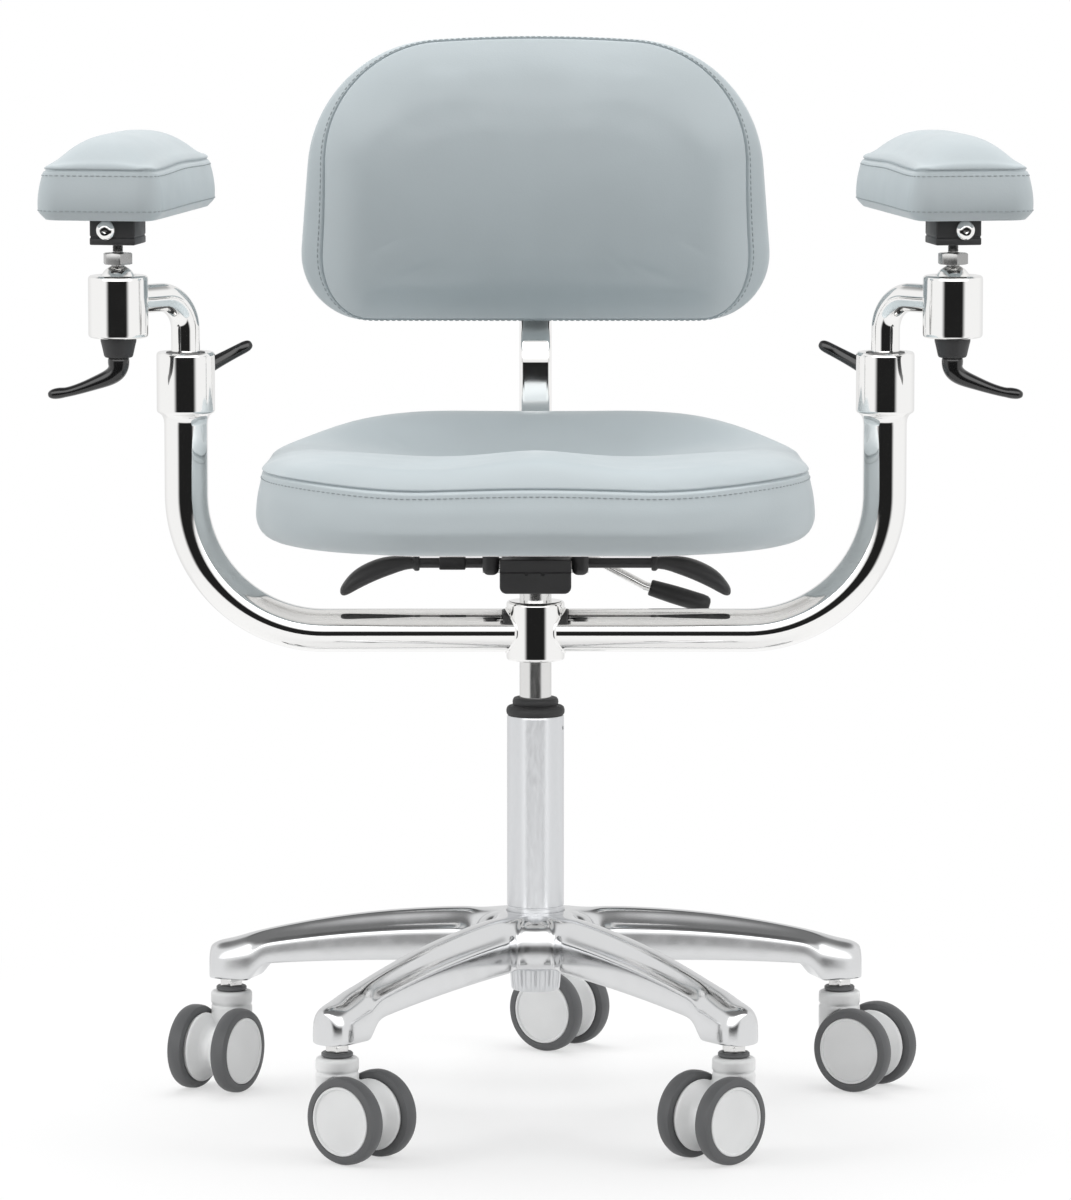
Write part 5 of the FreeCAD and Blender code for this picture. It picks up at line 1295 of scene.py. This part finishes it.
class CHAIR_OT_seat(bpy.types.Operator):
    """Upholster the seat"""
    bl_idname = "chair.seat"
    bl_label = "Seat"

    half_width, front, rear, corner, around = 247.0, 226.0, 206.0, 150.0, 176
    rear_half_width, rear_corner = 231.0, 165.0
    seam_inset, seam_height, crown_height = 12.2, 562.0, 582.0
    lip_start, lip, roll_width, roll_end, steps = -3.6, 1.4, 46.0, 13.0, 26

    def execute(self, context):
        corners = [(-self.half_width, -self.front, self.corner), (self.half_width, -self.front, self.corner),
                   (self.rear_half_width, self.rear, self.rear_corner),
                   (-self.rear_half_width, self.rear, self.rear_corner)]
        outline = filleted_outline(corners, self.around)
        under = [(62, 0), (30, 0), (19, 0.012), (10.5, 0.06), (4.6, 0.14), (1.2, 0.25)]
        side = [(0, 0.36), (0.5, 0.47), (1.6, 0.6), (3.4, 0.72), (5.4, 0.82), (6.8, 0.895), (7.5, 0.945),
                (8.0, 0.985)]
        rows = [self.ring(outline, inset, self.box(share)) for inset, share in under]
        rows += [self.leaned(outline, inset, self.box(share)) for inset, share in side]
        rows.append(self.leaned(outline, self.seam_inset, self.seam))
        for reach in (self.lip_start, -2.4, 0.6, 5.6, self.roll_end):
            rows.append(self.crowned(outline, reach))
        for step in range(1, self.steps):
            rows.append(self.crowned(outline, self.roll_end, 1 - step / self.steps))
        seat = closed_skin("seat_top", rows)
        plump(seat, self.sewn, 1.0)
        subdivided(seat, 1)
        fit(seat, "seat", "upholstery", "pale leatherette", "seat_cushion", smooth=180)
        stitched("seat_stitches", seat, self.leaned(outline, 7.2, self.box(0.905)), "seat")
        board, ears = self.plate(outline)
        fit(board, "seat", "bright_steel", "zinc plate", "seat_plate")
        fit(ears, "seat", "black_plastic", "black plastic")
        return {"FINISHED"}

    def plate(self, outline):
        """The board under the seat, bevelled all round, with the two ears of the tilt pivot."""
        rows = [self.ring(outline, inset, lambda x, y, z=height: z) for inset, height in
                ((120, SEAT_BASE), (42, SEAT_BASE), (36, SEAT_BASE - 0.4), (36.6, SEAT_BASE - 1.2),
                 (72, SEAT_BASE - 5.8), (78, SEAT_BASE - 6.0), (130, SEAT_BASE - 6.0))]
        board = closed_skin("seat_board", rows)
        ears = [block("ear", (sign * 38.8 - 7.2, -54, 475.6), (sign * 38.8 + 7.2, -26, 505), 5.5, 5)
                for sign in SIDES.values()]
        return board, joined("pivot_ears", *ears)

    def lean(self, normal):
        """The boxing stands nearly upright at the sides and leans back in front."""
        return 0.7 + 1.8 * max(-normal.y, 0) ** 2

    def seam(self, x, y):
        hump = 3.5 * math.exp(-(x / 95) ** 2) * (1 - smooth_step(y, -215, -120))
        sides = 8 * smooth_step(abs(x), 90, 240) * (1 - smooth_step(y, -50, 110))
        return self.seam_height + hump + sides + 18 * smooth_step(y, -30, 190)

    def box(self, share):
        return lambda x, y: SEAT_BASE + share * (self.seam(x, y) - SEAT_BASE)

    def contour(self, x, y):
        """The top of the foam: a hump in front, two thigh dips, a bowl and a raised rear."""
        hump = 6 * math.exp(-(x / 48) ** 2 - ((y + 115) / 75) ** 2)
        thighs = 5 * math.exp(-((abs(x) - 95) / 50) ** 2 - ((y + 115) / 90) ** 2)
        bowl = 34 * math.exp(-(x / 150) ** 2 - ((y - 58) / 64) ** 2)
        return self.crown_height + hump - thighs - bowl + 18 * smooth_step(y, 90, 172)

    def ring(self, outline, inset, height):
        row = []
        for point, normal in outline:
            spot = point - normal * inset
            row.append((spot.x, spot.y, height(spot.x, spot.y)))
        return row

    def leaned(self, outline, inset, height):
        row = []
        for point, normal in outline:
            spot = point - normal * inset * self.lean(normal)
            row.append((spot.x, spot.y, height(spot.x, spot.y)))
        return row

    def crowned(self, outline, reach, share=1.0):
        """A ring of the top, so far in from the seam, drawn together towards the middle."""
        centre = Vector((0, (self.rear - self.front) / 2))
        row = []
        for point, normal in outline:
            edge = point - normal * (self.seam_inset * self.lean(normal) + reach)
            spot = centre + (edge - centre) * share
            span = reach - self.lip_start + (edge - spot).length
            rise = 1 - (1 - min(span / self.roll_width, 1)) ** 2.8
            lip = self.seam(spot.x, spot.y) + self.lip
            row.append((spot.x, spot.y, lip + (self.contour(spot.x, spot.y) - lip) * rise))
        return row

    def sewn(self, point):
        """The underside and the seam stay where they are."""
        return point.z < SEAT_BASE + 4 or abs(point.z - self.seam(point.x, point.y)) < 0.05


class CHAIR_OT_back(bpy.types.Operator):
    """Upholster the back and build its shell, bracket and knob"""
    bl_idname = "chair.back"
    bl_label = "Back"

    around, thick, groove, swell = 168, 60.0, 4.0, 12.0
    half_width, low, low_corner = 217.0, 676.5, 60.0
    shoulder, shoulder_height, shoulder_corner = 198.0, 924.0, 122.0
    top, top_radius, shell_inset = 935.0, 1350.0, 12.0
    roll_end, steps = 23.0, 22

    def execute(self, context):
        outline = self.outline(0)
        rows = [self.ring(outline, 60, 0), self.ring(outline, 16, 0), self.ring(outline, 8, 0.4),
                self.ring(outline, 4, 2), self.ring(outline, 1.6, 5), self.ring(outline, 0.4, 9.5)]
        rows += [self.boxing(outline, share) for share in (0.2, 0.4, 0.58, 0.73, 0.84, 0.91, 0.96)]
        rows.append(self.boxing(outline, 1.0, self.groove))
        rows += [self.face(outline, inset) for inset in (0.8, 2.6, 5.6, 10, 16, self.roll_end)]
        rows += [self.face(outline, self.roll_end, 1 - step / self.steps) for step in range(1, self.steps)]
        cushion = closed_skin("back_pad", rows)
        seam = {rounded_point(point) for point in self.boxing(outline, 1.0, self.groove)}
        plump(cushion, lambda point: point.y > BACK_REAR - 3 or rounded_point(point) in seam, 2.0)
        subdivided(cushion, 1)
        fit(cushion, "backrest", "upholstery", "pale leatherette", "back_cushion", smooth=180)
        stitched("back_stitches", cushion, self.boxing(outline, 0.86), "backrest")
        fit(self.shell(), "backrest", "black_plastic", "black plastic", "back_shell")
        fit(self.bracket(), "backrest", "black_plastic", "black plastic", "back_bracket")
        fit(self.knob(), "back_knob", "black_plastic", "black plastic", "back_knob")
        return {"FINISHED"}

    def outline(self, inset):
        wide, narrow = self.half_width - inset, self.shoulder - inset
        low, high = self.low + inset, self.shoulder_height - inset
        lower, upper = self.low_corner - inset, self.shoulder_corner - inset
        return filleted_outline([
            (-wide, low, lower), (wide, low, lower), (narrow, high, upper),
            (0, self.top - inset, self.top_radius), (-narrow, high, upper),
        ], self.around)

    def ring(self, outline, inset, depth):
        row = []
        for point, normal in outline:
            spot = point - normal * inset
            row.append((spot.x, BACK_REAR - depth, spot.y))
        return row

    def seam(self, point, normal):
        """How far in and how far forward the seam lies: it draws in at the sides and hides over the top."""
        side = abs(normal.x) ** 1.4
        upper = smooth_step(point.y, 740, 925)
        inset = 18 * side * (1 - 0.5 * upper) + 1.0
        depth = 24 - 5 * smooth_step(normal.y, 0.35, 0.95)
        return inset, depth

    def boxing(self, outline, share, groove=0.0):
        row = []
        for point, normal in outline:
            inset, depth = self.seam(point, normal)
            spot = point - normal * (0.2 + (inset - 0.2) * share ** 1.3 + groove)
            row.append((spot.x, BACK_REAR - 13 - (depth - 13) * share + 0.7 * groove, spot.y))
        return row

    def face(self, outline, inset, share=1.0):
        """The front panel: a broad rolled edge, broadest at the top, then a gentle crown."""
        centre = Vector((0, 800))
        row = []
        for point, normal in outline:
            seam_inset, depth = self.seam(point, normal)
            edge = point - normal * (seam_inset + inset)
            spot = centre + (edge - centre) * share
            soft = 44 + 22 * smooth_step(normal.y, 0.3, 0.95)
            reach = min((inset + (edge - spot).length) / soft, 1)
            roll = 1 - (1 - reach) ** 2.2
            crown = self.swell * max(1 - (spot.x / 205) ** 2, 0) * max(1 - ((spot.y - 803) / 130) ** 2, 0)
            front = depth + (self.thick - self.swell - depth) * roll + crown * roll
            row.append((spot.x, BACK_REAR - front, spot.y))
        return row

    def shell(self):
        outline = self.outline(self.shell_inset)
        rows = [self.ring(outline, inset, depth) for inset, depth in
                ((40, 0.2), (4, 0.2), (0.6, -0.4), (0, -1.4), (0, -4.4), (0.8, -5.6), (2.4, -6.0), (9, -6.0),
                 (10, -5.2), (11, -5.2), (12, -6.0), (40, -6.0))]
        return closed_skin("shell", rows)

    def bracket(self):
        body = block("bracket", (-25, 235.2, 716.5), (25, 257.8, 776.5), 3.5, 4)
        slot = block("bracket_slot", (-14.9, 240.2, 700), (14.9, 252.9, 800), 0.3)
        cut_by(body, slot)
        spots = [(x, 257.6, z) for x in (-20, 20) for z in (723.5, 769.5)]
        profile = [(POLE, 0), (3.4, 0), (3.6, 0.4), (3.6, 1.0), (2.6, 1.9), (POLE, 2.0)]
        return joined("bracket", body, *screw_heads(profile, spots, turned_about("X", -math.pi / 2)))

    def knob(self):
        """A fluted hand knob."""
        knob = fluted("knob", [
            (4.9, -5.0, 0), (5.0, 0.2, 0), (10.6, 0.4, 0), (11.2, 1.4, 0), (15.2, 6.4, 0.5), (16.0, 8.6, 1),
            (16.0, 14.6, 1), (15.2, 16.8, 0.9), (13.4, 17.9, 0.5), (10.5, 18.0, 0.1), (9.8, 17.5, 0),
            (3.0, 17.2, 0),
        ], around=96, flutes=8, bite=1.3, sharpness=0.6)
        return placed(knob, moved(0, 257.85, 746.53) @ turned_about("X", -math.pi / 2))


class CHAIR_OT_arm_pads(bpy.types.Operator):
    """Upholster the two arm pads"""
    bl_idname = "chair.arm_pads"
    bl_label = "Arm pads"

    half_width, front, rear, corner, around = 53.0, 80.0, 155.0, 19.0, 208
    boxing_height, crown_height, bulge, seam_inset = 43.0, 27.5, 2.6, 3.4
    floor_inset, roll_end, steps = 26.0, 13.0, 16

    def execute(self, context):
        for side, sign in SIDES.items():
            turn = moved(*socket_spot(sign), 0) @ turned_about("Z", sign * PAD_TOE)
            pad = placed(self.cushion(f"pad_{side}"), turn)
            fit(pad, f"pad_{side}", "upholstery", "pale leatherette", f"pad_cushion_{side}", smooth=180)
            for row, share in (("top", 0.9), ("bottom", 0.2)):
                points = [turn @ (Vector(point) * MM) / MM for point in self.side(share)]
                stitched(f"pad_{row}_stitches_{side}", pad, points, f"pad_{side}")
        return {"FINISHED"}

    def outline(self):
        corners = [(-self.half_width, -self.front, self.corner), (self.half_width, -self.front, self.corner),
                   (self.half_width, self.rear, self.corner), (-self.half_width, self.rear, self.corner)]
        return filleted_outline(corners, self.around)

    def seam(self, x, y):
        return PAD_BASE + self.boxing_height + 0.8 * math.sin(y / 26) * smooth_step(abs(x), 30, 48)

    def side(self, share):
        inset = self.seam_inset * max(share - 0.25, 0) / 0.75 + 5.5 * max(0.16 - share, 0) / 0.16
        inset -= self.bulge * math.sin(math.pi * min(share, 1))
        row = []
        for point, normal in self.outline():
            spot = point - normal * inset
            row.append((spot.x, spot.y, PAD_BASE + share * (self.seam(spot.x, spot.y) - PAD_BASE)))
        return row

    def top(self, inset, share=1.0):
        centre = Vector((0, (self.rear - self.front) / 2))
        row = []
        for point, normal in self.outline():
            edge = point - normal * (self.seam_inset + inset)
            spot = centre + (edge - centre) * share
            span = inset + (edge - spot).length
            across = max(1 - abs(spot.x / (self.half_width - self.seam_inset)) ** 2.6, 0)
            half = (self.rear + self.front) / 2 - self.seam_inset
            along = max(1 - abs((spot.y - centre.y) / half) ** 4.5, 0)
            lip = 2.2 * math.exp(-((span - 3) / 3.2) ** 2)
            row.append((spot.x, spot.y, self.seam(spot.x, spot.y) + lip + self.crown_height * across * along))
        return row

    def cushion(self, name):
        inner = [point - normal * self.floor_inset for point, normal in self.outline()]
        flat = [(point.x, point.y, PAD_BASE) for point in inner]
        rows = [flat, *(self.side(share) for share in
                        (0, 0.03, 0.07, 0.12, 0.17, 0.2, 0.23, 0.32, 0.45, 0.6, 0.74, 0.84, 0.91, 0.975))]
        seam = []
        for index, ((x, y, z), (_, away)) in enumerate(zip(self.side(1.0), self.outline())):
            pucker = 2.4 + 1.0 * (index % 2)
            seam.append((x - pucker * away.x, y - pucker * away.y, z))
        rows.append(seam)
        rows += [self.top(inset) for inset in (0.2, 1.6, 4, 8, self.roll_end)]
        rows += [self.top(self.roll_end, 1 - step / self.steps) for step in range(1, self.steps)]
        pad = closed_skin(name, rows)
        kept = {rounded_point(point) for point in seam}
        plump(pad, lambda point: point.z < PAD_BASE + 1 or rounded_point(point) in kept, 3.0)
        return subdivided(pad, 1)


# Solids and panel
class CHAIR_OT_kept_solids(bpy.types.Operator):
    """Give the solids that stay in sight their surfaces"""
    bl_idname = "chair.kept_solids"
    bl_label = "Kept solids"

    def execute(self, context):
        finishes = {
            "guide_bush": "black plastic", "thrust_bearing": "bright steel", "piston_rod": "bright steel",
            "gas_cylinder": "bright steel", "pivot_pins": "bright steel", "back_bar": "chrome plate",
        }
        for side in SIDES:
            finishes[f"post_sleeve_{side}"] = "black plastic"
            finishes[f"pad_ball_{side}"] = "chrome plate"
        for node, finish in finishes.items():
            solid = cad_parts[node]
            solid.data.materials.clear()
            solid.data.materials.append(bpy.data.materials[finish])
        return {"FINISHED"}


class CHAIR_PT_panel(bpy.types.Panel):
    """The steps of the chair in the sidebar"""
    bl_idname = "CHAIR_PT_panel"
    bl_label = "Microscope chair"
    bl_space_type = "VIEW_3D"
    bl_region_type = "UI"
    bl_category = "Chair"

    def draw(self, context):
        layout = self.layout
        for group in (context.scene.chair_finishes, context.scene.chair_sewing, context.scene.chair_stage):
            box = layout.box()
            for key in group.bl_rna.properties.keys():
                if key not in {"rna_type", "name"}:
                    box.prop(group, key)
        for operator in OPERATORS:
            layout.operator(operator.bl_idname)


GROUPS = {"chair_finishes": ChairFinishes, "chair_sewing": ChairSewing, "chair_stage": ChairStage}
OPERATORS = (
    CHAIR_OT_finishes, CHAIR_OT_stage, CHAIR_OT_star_base, CHAIR_OT_casters, CHAIR_OT_column, CHAIR_OT_yoke,
    CHAIR_OT_posts, CHAIR_OT_clamps, CHAIR_OT_mechanism, CHAIR_OT_seat, CHAIR_OT_back, CHAIR_OT_arm_pads,
    CHAIR_OT_kept_solids,
)


def register():
    for made in (*GROUPS.values(), *OPERATORS, CHAIR_PT_panel):
        bpy.utils.register_class(made)
    for name, group in GROUPS.items():
        setattr(bpy.types.Scene, name, PointerProperty(type=group))


def unregister():
    for name in GROUPS:
        delattr(bpy.types.Scene, name)
    for made in (CHAIR_PT_panel, *reversed(OPERATORS), *GROUPS.values()):
        bpy.utils.unregister_class(made)


def main():
    register()
    leave_edit()
    for operator in OPERATORS:
        _, step = operator.bl_idname.split(".")
        getattr(bpy.ops.chair, step)()


if __name__ == "__main__":
    main()
